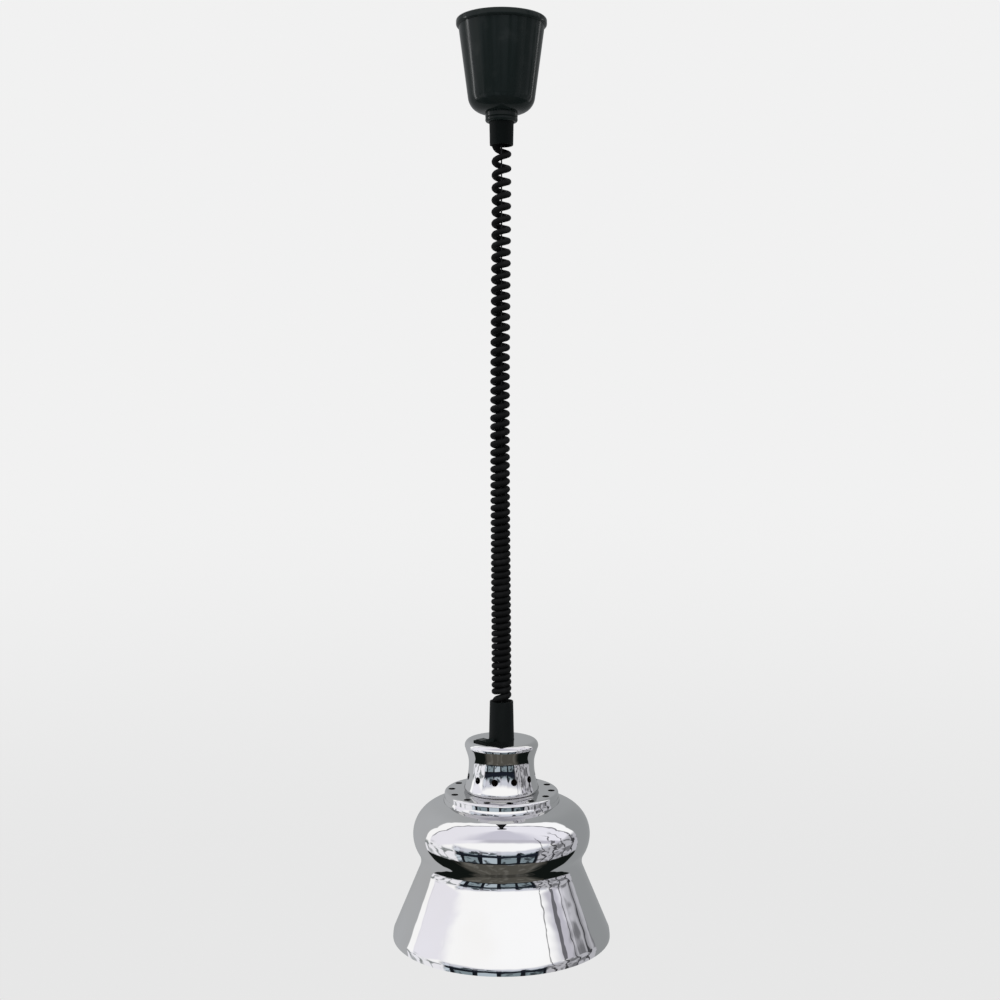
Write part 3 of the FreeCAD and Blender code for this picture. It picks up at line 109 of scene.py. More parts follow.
def helixPoint(turn, depth, grow=1.0):
    sizes = cordSettings
    stray = sizes["wander"] * (1 - math.cos(2 * math.pi * depth / sizes["span"])) / 2
    angle = math.pi - 2 * math.pi * turn
    reach = sizes["coilRadius"] * grow
    return reach * math.cos(angle) - stray, reach * math.sin(angle), sizes["top"] - depth


def cordPoints():
    sizes = cordSettings
    grow = 1 / math.cos(math.pi / sizes["pointsPerTurn"])     # the spline runs inside its points
    low = sizes["top"] - sizes["span"]
    straight = [sizes["diameter"] * share for share in sizes["endShares"]]
    leadIn = []
    for number in range(1, sizes["leadPoints"]):
        share = number / sizes["leadPoints"]
        eased = sizes["leadEaseShare"] * (1 - (1 - share) ** 2) + (1 - sizes["leadEaseShare"]) * share
        turn = sizes["leadTurn"] * share ** sizes["leadPower"]
        leadIn.append((turn, sizes["leadDrop"] * eased, 1 + (grow - 1) * share))
    points = [(-sizes["coilRadius"], 0, sizes["top"] + rise) for rise in reversed(straight)]
    points += [helixPoint(turn, drop, size) for turn, drop, size in leadIn]
    steps = int((sizes["turns"] - 2 * sizes["leadTurn"]) * sizes["pointsPerTurn"])
    for number in range(steps + 1):
        turn = number / sizes["pointsPerTurn"]
        points.append(helixPoint(turn + sizes["leadTurn"], sizes["leadDrop"] + coilDepth(turn), grow))
    for turn, drop, size in reversed(leadIn):
        points.append(helixPoint(sizes["turns"] - turn, sizes["span"] - drop, size))
    points += [(-sizes["coilRadius"], 0, low - fall) for fall in straight]
    return points


tubeSettings = {"order": 3, "roundness": 4, "smoothAngle": 50}


def splineTube(name, points, diameter, detail):
    # a tube on a smooth spline, made a mesh, with the line that it follows
    curve = bpy.data.curves.new(name, "CURVE")
    curve.dimensions = "3D"
    spline = curve.splines.new("NURBS")
    spline.points.add(len(points) - 1)
    for target, point in zip(spline.points, points):
        target.co = (point[0] * mm, point[1] * mm, point[2] * mm, 1)
    spline.order_u = tubeSettings["order"]
    spline.use_endpoint_u = True
    curve.resolution_u = detail
    tube = bpy.data.objects.new(name, curve)
    bpy.context.collection.objects.link(tube)
    bpy.context.view_layer.update()
    line = bpy.data.meshes.new_from_object(tube)
    path = [tuple(vertex.co) for vertex in line.vertices]
    bpy.data.meshes.remove(line)
    curve.bevel_depth = diameter / 2 * mm
    curve.bevel_resolution = tubeSettings["roundness"]
    curve.use_fill_caps = True
    bpy.ops.object.select_all(action="DESELECT")
    tube.select_set(True)
    bpy.context.view_layer.objects.active = tube
    bpy.ops.object.convert(target="MESH")
    tube = bpy.context.object
    bpy.ops.object.shade_smooth_by_angle(angle=math.radians(tubeSettings["smoothAngle"]))
    return tube, path


curlyCord, curlyPath = splineTube("curlyCordSheath", cordPoints(), cordSettings["sheath"],
                                  cordSettings["detail"])
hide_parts("curly_cord")
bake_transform(curlyCord)

# lifting cable: straight down the middle of the coil
cableSettings = {
    "diameter": 1.5,
    "top": -91.0,
    "low": -782.3,
    "points": 24,
    "detail": 4,
    "stretchFrom": -134.5,
    "stretchTo": -700.0,
}


def cablePoints():
    sizes = cableSettings
    pitch = (sizes["low"] - sizes["top"]) / (sizes["points"] - 1)
    return [(0, 0, sizes["top"] + pitch * number) for number in range(sizes["points"])]


liftCable, cablePath = splineTube("liftCableStrand", cablePoints(), cableSettings["diameter"],
                                  cableSettings["detail"])
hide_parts("suspension_cable")
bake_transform(liftCable)
print("stage: cords laid")


# shader maths as Python sums: each operation on a wrapped socket adds a node
class Wire:
    def __init__(self, tree, socket=None):
        self.tree = tree
        self.socket = socket

    def node(self, kind, settings=None, inputs=None, output=0):
        made = self.tree.nodes.new(kind)
        for name, setting in (settings or {}).items():
            setattr(made, name, setting)
        for name, given in (inputs or {}).items():
            if isinstance(given, Wire):
                self.tree.links.new(given.socket, made.inputs[name])
            else:
                made.inputs[name].default_value = given
        return Wire(self.tree, made.outputs[output])

    def maths(self, operation, first, second=0.0):
        return self.node("ShaderNodeMath", {"operation": operation}, {0: first, 1: second})

    def __add__(self, other):
        return self.maths("ADD", self, other)

    def __radd__(self, other):
        return self.maths("ADD", other, self)

    def __sub__(self, other):
        return self.maths("SUBTRACT", self, other)

    def __rsub__(self, other):
        return self.maths("SUBTRACT", other, self)

    def __mul__(self, other):
        return self.maths("MULTIPLY", self, other)

    def __rmul__(self, other):
        return self.maths("MULTIPLY", other, self)

    def __neg__(self):
        return self.maths("MULTIPLY", self, -1.0)

    def size(self):
        return self.maths("ABSOLUTE", self)

    def parts(self):
        # the three numbers of a vector
        first = self.node("ShaderNodeSeparateXYZ", None, {0: self})
        split = first.socket.node
        return [Wire(self.tree, output) for output in split.outputs]

    def step(self, low, high):
        # 0 below low, 1 above high, smooth between
        return self.node("ShaderNodeMapRange", {"interpolation_type": "SMOOTHSTEP"},
                         {"Value": self, "From Min": low, "From Max": high})

    def mix(self, first, second, share):
        return self.node("ShaderNodeMix", {"data_type": "RGBA"}, {0: share, 6: first, 7: second}, output=2)

    def grain(self, place, scale, detail=2.0, stretch=(1, 1, 1)):
        moved = self.node("ShaderNodeMapping", None, {"Vector": place, "Scale": stretch})
        return self.node("ShaderNodeTexNoise", None, {"Vector": moved, "Scale": scale, "Detail": detail})

    def bump(self, height, strength, depth):
        return self.node("ShaderNodeBump", None,
                         {"Height": height, "Strength": strength, "Distance": depth})


def newFinish(name, fixed):
    # a material whose even values are set on the shader, and the start of its wires
    finish = bpy.data.materials.new(name)
    finish.use_nodes = True
    shader = finish.node_tree.nodes["Principled BSDF"]
    for socket, number in fixed.items():
        shader.inputs[socket].default_value = number
    wires = Wire(finish.node_tree)
    place = wires.node("ShaderNodeTexCoord", output="Object")

    def feed(socket, given):
        finish.node_tree.links.new(given.socket, shader.inputs[socket])

    return finish, wires, place, feed


# a grain is its scale, detail and stretch, a spread the range in which one tone gives way to the next,
# rough the least roughness and what the grain adds to it, and relief the strength and depth of a bump
chromeLook = {
    "plate": (0.93, 0.93, 0.94, 1),
    "warm": (0.89, 0.88, 0.87, 1),
    # unpolished metal inside, made darker as painted shade
    "rawShaded": (0.16, 0.155, 0.15, 1),
    "cloud": (9.0, 3.0),
    "cloudSpread": (0.45, 0.8),
    "wipe": (60.0, 4.0, (1, 1, 0.15)),
    "wipeSpread": (0.55, 0.85),
    "inwardSpread": (-0.012, -0.004),
    "downSpread": (0.92, 0.96),
    "polish": 0.008,
    "haze": 0.03,
    "dull": 0.38,
    "ripple": (55.0, 1.0),
    "relief": (0.9, 0.0003),
}


def chromeFinish():
    # mirror plate outside; faces that look inwards or straight down are left dull as unpolished metal, and
    # their tone is darker as painted shade in the hollows
    look = chromeLook
    finish, wires, place, feed = newFinish("chromePlate", {"Metallic": 1.0})
    cloud = wires.grain(place, *look["cloud"]).step(*look["cloudSpread"])
    wipe = wires.grain(place, *look["wipe"]).step(*look["wipeSpread"])
    facing = wires.node("ShaderNodeNewGeometry", output="Normal")
    placeX, placeY = place.parts()[:2]
    normalX, normalY, normalZ = facing.parts()
    outward = (placeX * normalX + placeY * normalY).step(*look["inwardSpread"])
    inward = wires.maths("MAXIMUM", 1.0 - outward, (-normalZ).step(*look["downSpread"]))
    plate = wires.mix(look["plate"], look["warm"], cloud)
    # inward and downward faces take the darker tone: painted shade inside the neck, flange and shade
    feed("Base Color", wires.mix(plate, look["rawShaded"], inward))
    feed("Roughness", look["polish"] + look["haze"] * wipe + look["dull"] * inward)
    feed("Normal", wires.bump(wires.grain(place, *look["ripple"]), *look["relief"]))
    return finish


blackGlossLook = {
    "black": (0.008, 0.0115, 0.0112, 1),
    "dusty": (0.014, 0.0175, 0.0172, 1),
    "dust": (55.0, 4.0),
    "dustSpread": (0.52, 0.8),
    "scuff": (120.0, 5.0, (1, 1, 0.3)),
    "scuffSpread": (0.4, 0.8),
    "rough": (0.13, 0.10),
    "swell": (35.0, 2.0),
    "relief": (0.12, 0.0006),
}


def blackGlossFinish():
    look = blackGlossLook
    finish, wires, place, feed = newFinish("blackGloss", {"Specular IOR Level": 0.16})
    dust = wires.grain(place, *look["dust"]).step(*look["dustSpread"])
    scuff = wires.grain(place, *look["scuff"]).step(*look["scuffSpread"])
    feed("Base Color", wires.mix(look["black"], look["dusty"], dust))
    feed("Roughness", look["rough"][0] + look["rough"][1] * scuff)
    feed("Normal", wires.bump(wires.grain(place, *look["swell"]), *look["relief"]))
    return finish


def grainFinish(name, fixed, tones, grain, spread, rough, skin=None, relief=None):
    # two tones of one stuff in a grain, the roughness from the same grain,
    # and a relief from a second grain where there is one
    finish, wires, place, feed = newFinish(name, fixed)
    cloud = wires.grain(place, *grain)
    feed("Base Color", wires.mix(*tones, cloud.step(*spread)))
    feed("Roughness", rough[0] + rough[1] * cloud)
    if skin:
        feed("Normal", wires.bump(wires.grain(place, *skin), *relief))
    return finish


blackSatinLook = {
    "fixed": {"Specular IOR Level": 0.13},
    "tones": ((0.002, 0.0034, 0.0033, 1), (0.006, 0.0080, 0.0078, 1)),
    "grain": (90.0, 4.0, (1, 1, 0.25)),
    "spread": (0.5, 0.85),
    "rough": (0.40, 0.15),
    "skin": (900.0, 2.0),
    "relief": (0.15, 0.0002),
}
cordLook = {
    "fixed": {"Specular IOR Level": 0.10},
    "tones": ((0.004, 0.0042, 0.0044, 1), (0.012, 0.0124, 0.0128, 1)),
    "grain": (70.0, 4.0),
    "spread": (0.5, 0.85),
    "rough": (0.46, 0.18),
    "skin": (700.0, 2.0),
    "relief": (0.12, 0.0002),
}
nylonLook = {
    "fixed": {"IOR": 1.53},
    "tones": ((0.80, 0.79, 0.74, 1), (0.70, 0.67, 0.58, 1)),
    "grain": (30.0, 3.0),
    "spread": (0.45, 0.9),
    "rough": (0.35, 0.2),
    "skin": (500.0, 2.0),
    "relief": (0.1, 0.0002),
}
porcelainLook = {
    "fixed": {"IOR": 1.52, "Coat Weight": 0.6, "Coat Roughness": 0.05},
    "tones": ((0.030, 0.022, 0.017, 1), (0.060, 0.040, 0.028, 1)),
    "grain": (260.0, 3.0),
    "spread": (0.62, 0.8),
    "rough": (0.16, 0.1),
    "skin": (40.0, 2.0),
    "relief": (0.1, 0.0004),
}
stemGlassLook = {
    "fixed": {"Transmission Weight": 1.0, "IOR": 1.45},
    "tones": ((0.95, 0.97, 0.96, 1), (0.86, 0.90, 0.88, 1)),
    "grain": (160.0, 3.0),
    "spread": (0.5, 0.8),
    "rough": (0.03, 0.08),
}
insulatorLook = {
    "fixed": {"IOR": 1.6},
    "tones": ((0.015, 0.015, 0.018, 1), (0.06, 0.055, 0.06, 1)),
    "grain": (200.0, 4.0),
    "spread": (0.5, 0.8),
    "rough": (0.12, 0.15),
}


metalLook = {
    "patchShare": 0.2,
    "patchDetail": 2.0,
    "weight": 0.6,
    "spread": (0.4, 0.85),
    "relief": (0.2, 0.0002),
}


def metalFinish(name, tones, rough, grain):
    # plain metals: two tones of the metal in a grain and in wide patches, with a faint relief
    look = metalLook
    finish, wires, place, feed = newFinish(name, {"Metallic": 1.0})
    fine = wires.grain(place, *grain)
    patch = wires.grain(place, grain[0] * look["patchShare"], look["patchDetail"])
    worn = (look["weight"] * fine + look["weight"] * patch).step(*look["spread"])
    feed("Base Color", wires.mix(*tones, worn))
    feed("Roughness", rough[0] + rough[1] * fine)
    feed("Normal", wires.bump(fine, *look["relief"]))
    return finish


zincLook = {
    "tones": ((0.62, 0.63, 0.64, 1), (0.44, 0.45, 0.46, 1)),
    "rough": (0.30, 0.2),
    "grain": (220.0, 4.0),
}
springLook = {
    "tones": ((0.26, 0.29, 0.36, 1), (0.16, 0.15, 0.17, 1)),
    "rough": (0.25, 0.2),
    "grain": (300.0, 4.0, (1, 0.1, 1)),
}
brassLook = {
    "tones": ((0.78, 0.60, 0.28, 1), (0.52, 0.38, 0.18, 1)),
    "rough": (0.22, 0.25),
    "grain": (240.0, 4.0),
}
tungstenLook = {
    "tones": ((0.40, 0.38, 0.35, 1), (0.22, 0.21, 0.20, 1)),
    "rough": (0.35, 0.2),
    "grain": (800.0, 4.0),
}


def twistFinish(name, fixed, tones, pitch, wobble, spread, rough, relief):
    # slanting strands, as on the cable and on woven sleeving
    finish, wires, place, feed = newFinish(name, fixed)
    strands = wires.node("ShaderNodeTexWave", {"bands_direction": "DIAGONAL"},
                         {"Vector": place, "Scale": pitch, "Distortion": wobble}, output=1)
    feed("Base Color", wires.mix(*tones, strands.step(*spread)))
    feed("Roughness", rough[0] + rough[1] * strands)
    feed("Normal", wires.bump(strands, *relief))
    return finish


cableLook = {
    "fixed": {"Metallic": 1.0},
    "tones": ((0.012, 0.012, 0.013, 1), (0.060, 0.062, 0.065, 1)),
    "pitch": 900.0,
    "wobble": 0.5,
    "spread": (0.1, 0.6),
    "rough": (0.30, 0.2),
    "relief": (0.4, 0.0002),
}
sleevingLook = {
    "fixed": {"IOR": 1.5},
    "tones": ((0.62, 0.60, 0.55, 1), (0.38, 0.36, 0.33, 1)),
    "pitch": 1200.0,
    "wobble": 1.0,
    "spread": (0.3, 0.7),
    "rough": (0.55, 0.2),
    "relief": (0.4, 0.0002),
}

bulbLook = {
    "fixed": {"Transmission Weight": 0.9, "IOR": 1.45},
    "tones": ((0.93, 0.93, 0.94, 1), (0.84, 0.85, 0.88, 1)),
    "ripple": (25.0, 3.0),
    "spread": (0.4, 0.8),
    "clearRough": (0.12, 0.16),
    "silver": (0.82, 0.82, 0.83, 1),
    "silverRough": (0.08, 0.1),
    "silverFrom": (-0.930, -0.924),     # heights in metres
}


def bulbFinish():
    # clear face below the widest line, silvered cone above it
    look = bulbLook
    finish, wires, place, feed = newFinish("bulbGlass", look["fixed"])
    nodes = finish.node_tree.nodes
    ripple = wires.grain(place, *look["ripple"])
    feed("Base Color", wires.mix(*look["tones"], ripple.step(*look["spread"])))
    feed("Roughness", look["clearRough"][0] + look["clearRough"][1] * ripple)
    silvered = place.parts()[2].step(*look["silverFrom"])
    clear = Wire(finish.node_tree, nodes["Principled BSDF"].outputs[0])
    smear = look["silverRough"][0] + look["silverRough"][1] * ripple
    mirror = wires.node("ShaderNodeBsdfPrincipled", None,
                        {"Base Color": look["silver"], "Metallic": 1.0, "Roughness": smear})
    both = wires.node("ShaderNodeMixShader", None, {0: silvered, 1: clear, 2: mirror})
    finish.node_tree.links.new(both.socket, nodes["Material Output"].inputs["Surface"])
    return finish


finishes = {
    "chrome": chromeFinish(),
    "black_gloss": blackGlossFinish(),
    "black_satin": grainFinish("blackSatin", **blackSatinLook),
    "cord": grainFinish("cordSheath", **cordLook),
    "steel_cable": twistFinish("cableStrand", **cableLook),
    "zinc_steel": metalFinish("zincSteel", **zincLook),
    "spring_steel": metalFinish("springSteel", **springLook),
    "white_nylon": grainFinish("whiteNylon", **nylonLook),
    "brass": metalFinish("plainBrass", **brassLook),
    "porcelain": grainFinish("glazedPorcelain", **porcelainLook),
    "bulb_glass": bulbFinish(),
    "stem_glass": grainFinish("stemGlass", **stemGlassLook),
    "black_glass": grainFinish("blackInsulator", **insulatorLook),
    "tungsten": metalFinish("tungstenWire", **tungstenLook),
    "red_sleeve": twistFinish("glassSleeving", **sleevingLook),
}
for entry in frame["record"]["subparts"]:
    node = frame["nodes"][entry["node"]]
    node.data.materials.clear()
    node.data.materials.append(finishes[entry["material_slot"]])
curlyCord.data.materials.append(finishes["cord"])
liftCable.data.materials.append(finishes["steel_cable"])
print("stage: finishes made")

# turned pieces: a profile pulled out point by point and spun about the lamp's axis
turnedSettings = {
    "arcLength": 2.5,      # longest piece of an arc
    "arcAngle": 7,         # widest piece of an arc, in degrees
    "bevelAngle": 40,
    "smoothAngle": 35,
    "merge": 0.001,
}


def arcPoints(start, end, radius, side):
    chord = Vector((end[0] - start[0], end[1] - start[1]))
    rise = math.sqrt(max(0.0, radius * radius - chord.length_squared / 4))
    across = Vector((-chord.y, chord.x)).normalized()
    centre = Vector(start) + chord / 2 + across * rise * side
    first = math.atan2(start[1] - centre.y, start[0] - centre.x)
    sweep = side * 2 * math.asin(min(1.0, chord.length / 2 / radius))
    byLength = math.ceil(abs(sweep) * radius / turnedSettings["arcLength"])
    byAngle = math.ceil(math.degrees(abs(sweep)) / turnedSettings["arcAngle"])
    count = max(3, byLength, byAngle)
    return [(centre.x + radius * math.cos(first + sweep * number / count),
             centre.y + radius * math.sin(first + sweep * number / count)) for number in range(1, count)]


def outline(steps, rowHeight):
    # corners (radius, height) and arcs (radius, height, arc radius, side), long straight runs cut in rows
    points = []
    for number, step in enumerate(steps):
        start, end = steps[number - 1][:2], step[:2]
        if len(step) > 2:
            points += arcPoints(start, end, step[2], step[3])
        elif number and rowHeight:
            rows = math.ceil(math.dist(start, end) / rowHeight)
            across, down = end[0] - start[0], end[1] - start[1]
            points += [(start[0] + across * row / rows, start[1] + down * row / rows)
                       for row in range(1, rows)]
        points.append(end)
    return points


def spunPiece(name, level, steps, segments, edge=0.0, rowHeight=0.0):
    points = outline(steps, rowHeight)
    points.append(points[0])
    bpy.ops.object.select_all(action="DESELECT")
    bpy.ops.mesh.primitive_plane_add(size=mm)
    piece = bpy.context.object
    piece.name = name
    bpy.ops.object.mode_set(mode="EDIT")
    bpy.ops.mesh.select_all(action="SELECT")
    bpy.ops.mesh.merge(type="CENTER")
    bpy.ops.transform.translate(value=(points[0][0] * mm, 0, (points[0][1] + level) * mm))
    for before, after in zip(points, points[1:]):
        bpy.ops.mesh.extrude_vertices_move(TRANSFORM_OT_translate={
            "value": ((after[0] - before[0]) * mm, 0, (after[1] - before[1]) * mm)})
    bpy.ops.mesh.select_all(action="SELECT")
    bpy.ops.mesh.spin(steps=segments, angle=2 * math.pi, center=(0, 0, 0), axis=(0, 0, 1))
    bpy.ops.mesh.select_all(action="SELECT")
    bpy.ops.mesh.remove_doubles(threshold=turnedSettings["merge"] * mm)
    bpy.ops.mesh.normals_make_consistent(inside=False)
    bpy.ops.object.mode_set(mode="OBJECT")
    if edge:
        bevel = piece.modifiers.new("edge", "BEVEL")
        bevel.width = edge * mm
        bevel.segments = 2
        bevel.limit_method = "ANGLE"
        bevel.angle_limit = math.radians(turnedSettings["bevelAngle"])
        bpy.ops.object.modifier_apply(modifier="edge")
    bpy.ops.object.shade_smooth_by_angle(angle=math.radians(turnedSettings["smoothAngle"]))
    return piece


def drill(piece, cutters):
    # cuts joined cutters out of a piece
    bpy.ops.object.select_all(action="DESELECT")
    for cutter in cutters:
        cutter.select_set(True)
    bpy.context.view_layer.objects.active = cutters[0]
    if len(cutters) > 1:
        bpy.ops.object.join()
    tool = bpy.context.object
    bpy.ops.object.transform_apply(location=True, rotation=True, scale=True)
    bpy.ops.object.select_all(action="DESELECT")
    piece.select_set(True)
    bpy.context.view_layer.objects.active = piece
    cut = piece.modifiers.new("cut", "BOOLEAN")
    cut.object = tool
    cut.operation = "DIFFERENCE"
    cut.solver = "EXACT"
    bpy.ops.object.modifier_apply(modifier="cut")
    bpy.data.objects.remove(tool)
    bpy.ops.object.shade_smooth_by_angle(angle=math.radians(turnedSettings["smoothAngle"]))


def settle(piece, node, body, slot):
    piece.data.materials.clear()
    piece.data.materials.append(finishes[slot])
    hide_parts(node)
    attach(piece, body)
    print("piece:", piece.name)


# sizes that more than one piece uses; what fits round a sleeve takes its bore from the sleeve
sharedSettings = {
    "sleeveRoot": 13.4,
    "fitGap": 0.3,
    "slipGap": 0.08,
    "collarWall": 1.4,
    "neckLevel": -767.1,
    "neckWall": 1.2,
}
roundSleeve = sharedSettings["sleeveRoot"] + sharedSettings["fitGap"]

cupSettings = {
    "segments": 128,
    "height": 100.0,
    "top": 47.0,
    "foot": 33.7,
    "corner": 18.0,
    "wall": 2.2,
    "beadOut": 1.5,
    "beadHeight": 8.0,
    "beadRound": 2.5,
    "hole": roundSleeve + sharedSettings["collarWall"] + sharedSettings["slipGap"],
}


def cupSteps():
    sizes = cupSettings
    lean = math.atan2(sizes["top"] - sizes["foot"], sizes["height"])
    bead, beadRound = sizes["top"] + sizes["beadOut"], sizes["beadRound"]
    inset = sizes["foot"] - sizes["corner"] * (1 - math.sin(lean)) / math.cos(lean)
    underBead = sizes["top"] - sizes["beadHeight"] * math.tan(lean)
    inner = sizes["corner"] - sizes["wall"]
    low, floor = -sizes["height"], sizes["wall"] - sizes["height"]

    def corner(radius):
        return inset + radius * math.cos(lean), low + sizes["corner"] - radius * math.sin(lean)

    return [(sizes["top"] - sizes["wall"] / math.cos(lean), 0), (bead - beadRound, 0),
            (bead, -beadRound, beadRound, -1), (bead, beadRound - sizes["beadHeight"]),
            (underBead, -sizes["beadHeight"], beadRound, -1), corner(sizes["corner"]),
            (inset, low, sizes["corner"], -1), (sizes["hole"], low), (sizes["hole"], floor),
            (inset, floor), (*corner(inner), inner, 1)]


ceilingCup = spunPiece("ceilingCup", 0, cupSteps(), cupSettings["segments"])
settle(ceilingCup, "ceiling_cup", "cup", "black_gloss")

collarSettings = {
    "segments": 96,
    "radius": 17.3,
    "height": 10.0,
    "band": 4.4,
    "groove": 0.8,
    "round": 2.6,
    "nutHeight": 3.0,
}


def collarSteps():
    sizes = collarSettings
    radius, groove, low = sizes["radius"], sizes["groove"], -sizes["height"]
    spigot, top = roundSleeve + sharedSettings["collarWall"], cupSettings["wall"] + sizes["nutHeight"]
    return [(roundSleeve, top), (spigot, top), (spigot, 0), (radius, 0), (radius, -sizes["band"]),
            (radius - groove, -sizes["band"] - groove), (radius, -sizes["band"] - 2 * groove),
            (radius, low + sizes["round"]), (radius - sizes["round"], low, sizes["round"], -1),
            (roundSleeve, low)]


cupCollar = spunPiece("cupCollar", -cupSettings["height"], collarSteps(), collarSettings["segments"])
settle(cupCollar, "cup_collar", "cup", "black_gloss")

sleeveSettings = {
    "segments": 72,
    "edge": 0.4,
    "bore": 10.9,
    "flange": 15.0,
    "flangeHeight": 3.0,
    "root": sharedSettings["sleeveRoot"],
    "mouth": 12.5,
    "topFlange": -88.0,
    "topShow": 24.5,
    "lowShow": 41.0,
}


def sleevePiece(name, flange, mouth):
    sizes = sleeveSettings
    shoulder = flange + math.copysign(sizes["flangeHeight"], mouth - flange)
    steps = [(sizes["bore"], flange), (sizes["flange"], flange), (sizes["flange"], shoulder),
             (sizes["root"], shoulder), (sizes["mouth"], mouth), (sizes["bore"], mouth)]
    return spunPiece(name, 0, steps, sizes["segments"], sizes["edge"])


topMouth = -cupSettings["height"] - collarSettings["height"] - sleeveSettings["topShow"]
lowMouth = sharedSettings["neckLevel"] + sleeveSettings["lowShow"]
lowFlange = sharedSettings["neckLevel"] - sharedSettings["neckWall"] - sleeveSettings["flangeHeight"]
topSleeve = sleevePiece("topSleeve", sleeveSettings["topFlange"], topMouth)
settle(topSleeve, "top_sleeve", "ceiling_unit", "black_satin")
lowerSleeve = sleevePiece("lowerSleeve", lowFlange, lowMouth)
settle(lowerSleeve, "lower_sleeve", "lamp_head", "black_satin")

neckSettings = {
    "segments": 264,
    "rowHeight": 2.5,
    "level": sharedSettings["neckLevel"],
    "wall": sharedSettings["neckWall"],
    "hole": roundSleeve,
    "lip": 39.1,
    "lipRound": 5.6,
    "waist": 34.7,
    "waistDrop": 24.4,
    "sweepShare": 0.79,
    "foot": 39.8,
    "footRound": 3.0,
    "footTurn": 2.0,
    "height": 53.7,
    "vents": 11,
    "ventRadius": 3.5,
    "ventDrop": 37.4,
    "ventTurn": -68.6,
    "ventDepth": 30.0,
    "ventSides": 40,
    "switchTurn": 222.0,
    "switchReach": 22.9,
    "switchCut": (13.16, 19.16, 6.0),
}


def neckSteps():
    sizes = neckSettings
    wall, hole, foot, waist = sizes["wall"], sizes["hole"], sizes["foot"], sizes["waist"]
    lip, lipRound, footRound = sizes["lip"], sizes["lipRound"], sizes["footRound"]
    drawIn, fall = lip - waist, sizes["waistDrop"] - lipRound
    flare, length = foot - waist, sizes["height"] - footRound - sizes["waistDrop"]
    sweep = sizes["sweepShare"] * ((drawIn ** 2 + fall ** 2) / (2 * drawIn) - lipRound)
    across = sweep + lipRound - drawIn
    lean = math.atan2(fall, across) - math.acos((lipRound + sweep) / math.hypot(across, fall))
    skirt = (flare ** 2 + length ** 2) / (2 * flare)
    low, footEnd = -sizes["height"], foot - footRound - sizes["footTurn"]
    innerLip, innerSweep, innerFoot = lipRound - wall, sweep + wall, footRound - wall

    def underLip(radius):
        return lip - lipRound + radius * math.cos(lean), -lipRound - radius * math.sin(lean)

    def overWaist(radius):
        return waist + sweep - radius * math.cos(lean), radius * math.sin(lean) - sizes["waistDrop"]

    outside = [(hole, 0), (lip - lipRound, 0), (lip, -lipRound, lipRound, -1),
               (*underLip(lipRound), lipRound, -1), overWaist(sweep),
               (waist, -sizes["waistDrop"], sweep, 1), (foot, low + footRound, skirt, 1),
               (foot - footRound, low, footRound, -1), (footEnd, low)]
    inside = [(footEnd, low + wall), (foot - footRound, low + wall),
              (foot - wall, low + footRound, innerFoot, 1),
              (waist - wall, -sizes["waistDrop"], skirt, -1), (*overWaist(innerSweep), innerSweep, -1),
              underLip(innerLip), (lip - wall, -lipRound, innerLip, 1),
              (lip - lipRound, -wall, innerLip, 1), (hole, -wall)]
    return outside + inside


def ventCutters(sizes, circle, level, lean):
    # a ring of rods, upright or lying along the radius
    cutters = []
    for number in range(sizes["vents"]):
        turn = math.radians(sizes["ventTurn"] + 360 / sizes["vents"] * number)
        bpy.ops.object.select_all(action="DESELECT")
        bpy.ops.mesh.primitive_cylinder_add(
            vertices=sizes["ventSides"], radius=sizes["ventRadius"] * mm, depth=sizes["ventDepth"] * mm,
            location=(circle * mm * math.cos(turn), circle * mm * math.sin(turn), level * mm),
            rotation=(0, lean, turn if lean else 0))
        cutters.append(bpy.context.object)
    return cutters


def switchCutter():
    sizes = neckSettings
    turn = math.radians(sizes["switchTurn"])
    reach = sizes["switchReach"] * mm
    bpy.ops.object.select_all(action="DESELECT")
    bpy.ops.mesh.primitive_cube_add(
        size=1, location=(reach * math.cos(turn), reach * math.sin(turn), sizes["level"] * mm),
        rotation=(0, 0, turn))
    cutter = bpy.context.object
    cutter.scale = [side * mm for side in sizes["switchCut"]]
    return cutter


neckShell = spunPiece("neckShell", neckSettings["level"], neckSteps(), neckSettings["segments"],
                      rowHeight=neckSettings["rowHeight"])
ventLevel = neckSettings["level"] - neckSettings["ventDrop"]
drill(neckShell, ventCutters(neckSettings, neckSettings["foot"], ventLevel, math.pi / 2))
drill(neckShell, [switchCutter()])
settle(neckShell, "neck_shell", "lamp_head", "chrome")

flangeSettings = {
    "segments": 252,
    "rowHeight": 2.5,
    "level": neckSettings["level"] - neckSettings["height"],
    "bore": 33.0,
    "radius": 60.5,
    "height": 6.5,
    "round": 2.6,
    "wall": 1.2,
    "vents": 14,
    "ventRadius": 3.7,
    "ventCircle": 53.0,
    "ventTurn": -80.7,
    "ventDepth": 6.0,
    "ventSides": 40,
}


def flangeSteps():
    sizes = flangeSettings
    radius, wall, edge = sizes["radius"], sizes["wall"], sizes["round"]
    return [(sizes["bore"], 0), (radius - edge, 0), (radius, -edge, edge, -1), (radius, -sizes["height"]),
            (radius - wall, -sizes["height"]), (radius - wall, -edge),
            (radius - edge, -wall, edge - wall, 1), (sizes["bore"], -wall)]


ventFlange = spunPiece("ventFlange", flangeSettings["level"], flangeSteps(), flangeSettings["segments"],
                       rowHeight=flangeSettings["rowHeight"])
drill(ventFlange, ventCutters(flangeSettings, flangeSettings["ventCircle"], flangeSettings["level"], 0))
settle(ventFlange, "vent_flange", "lamp_head", "chrome")

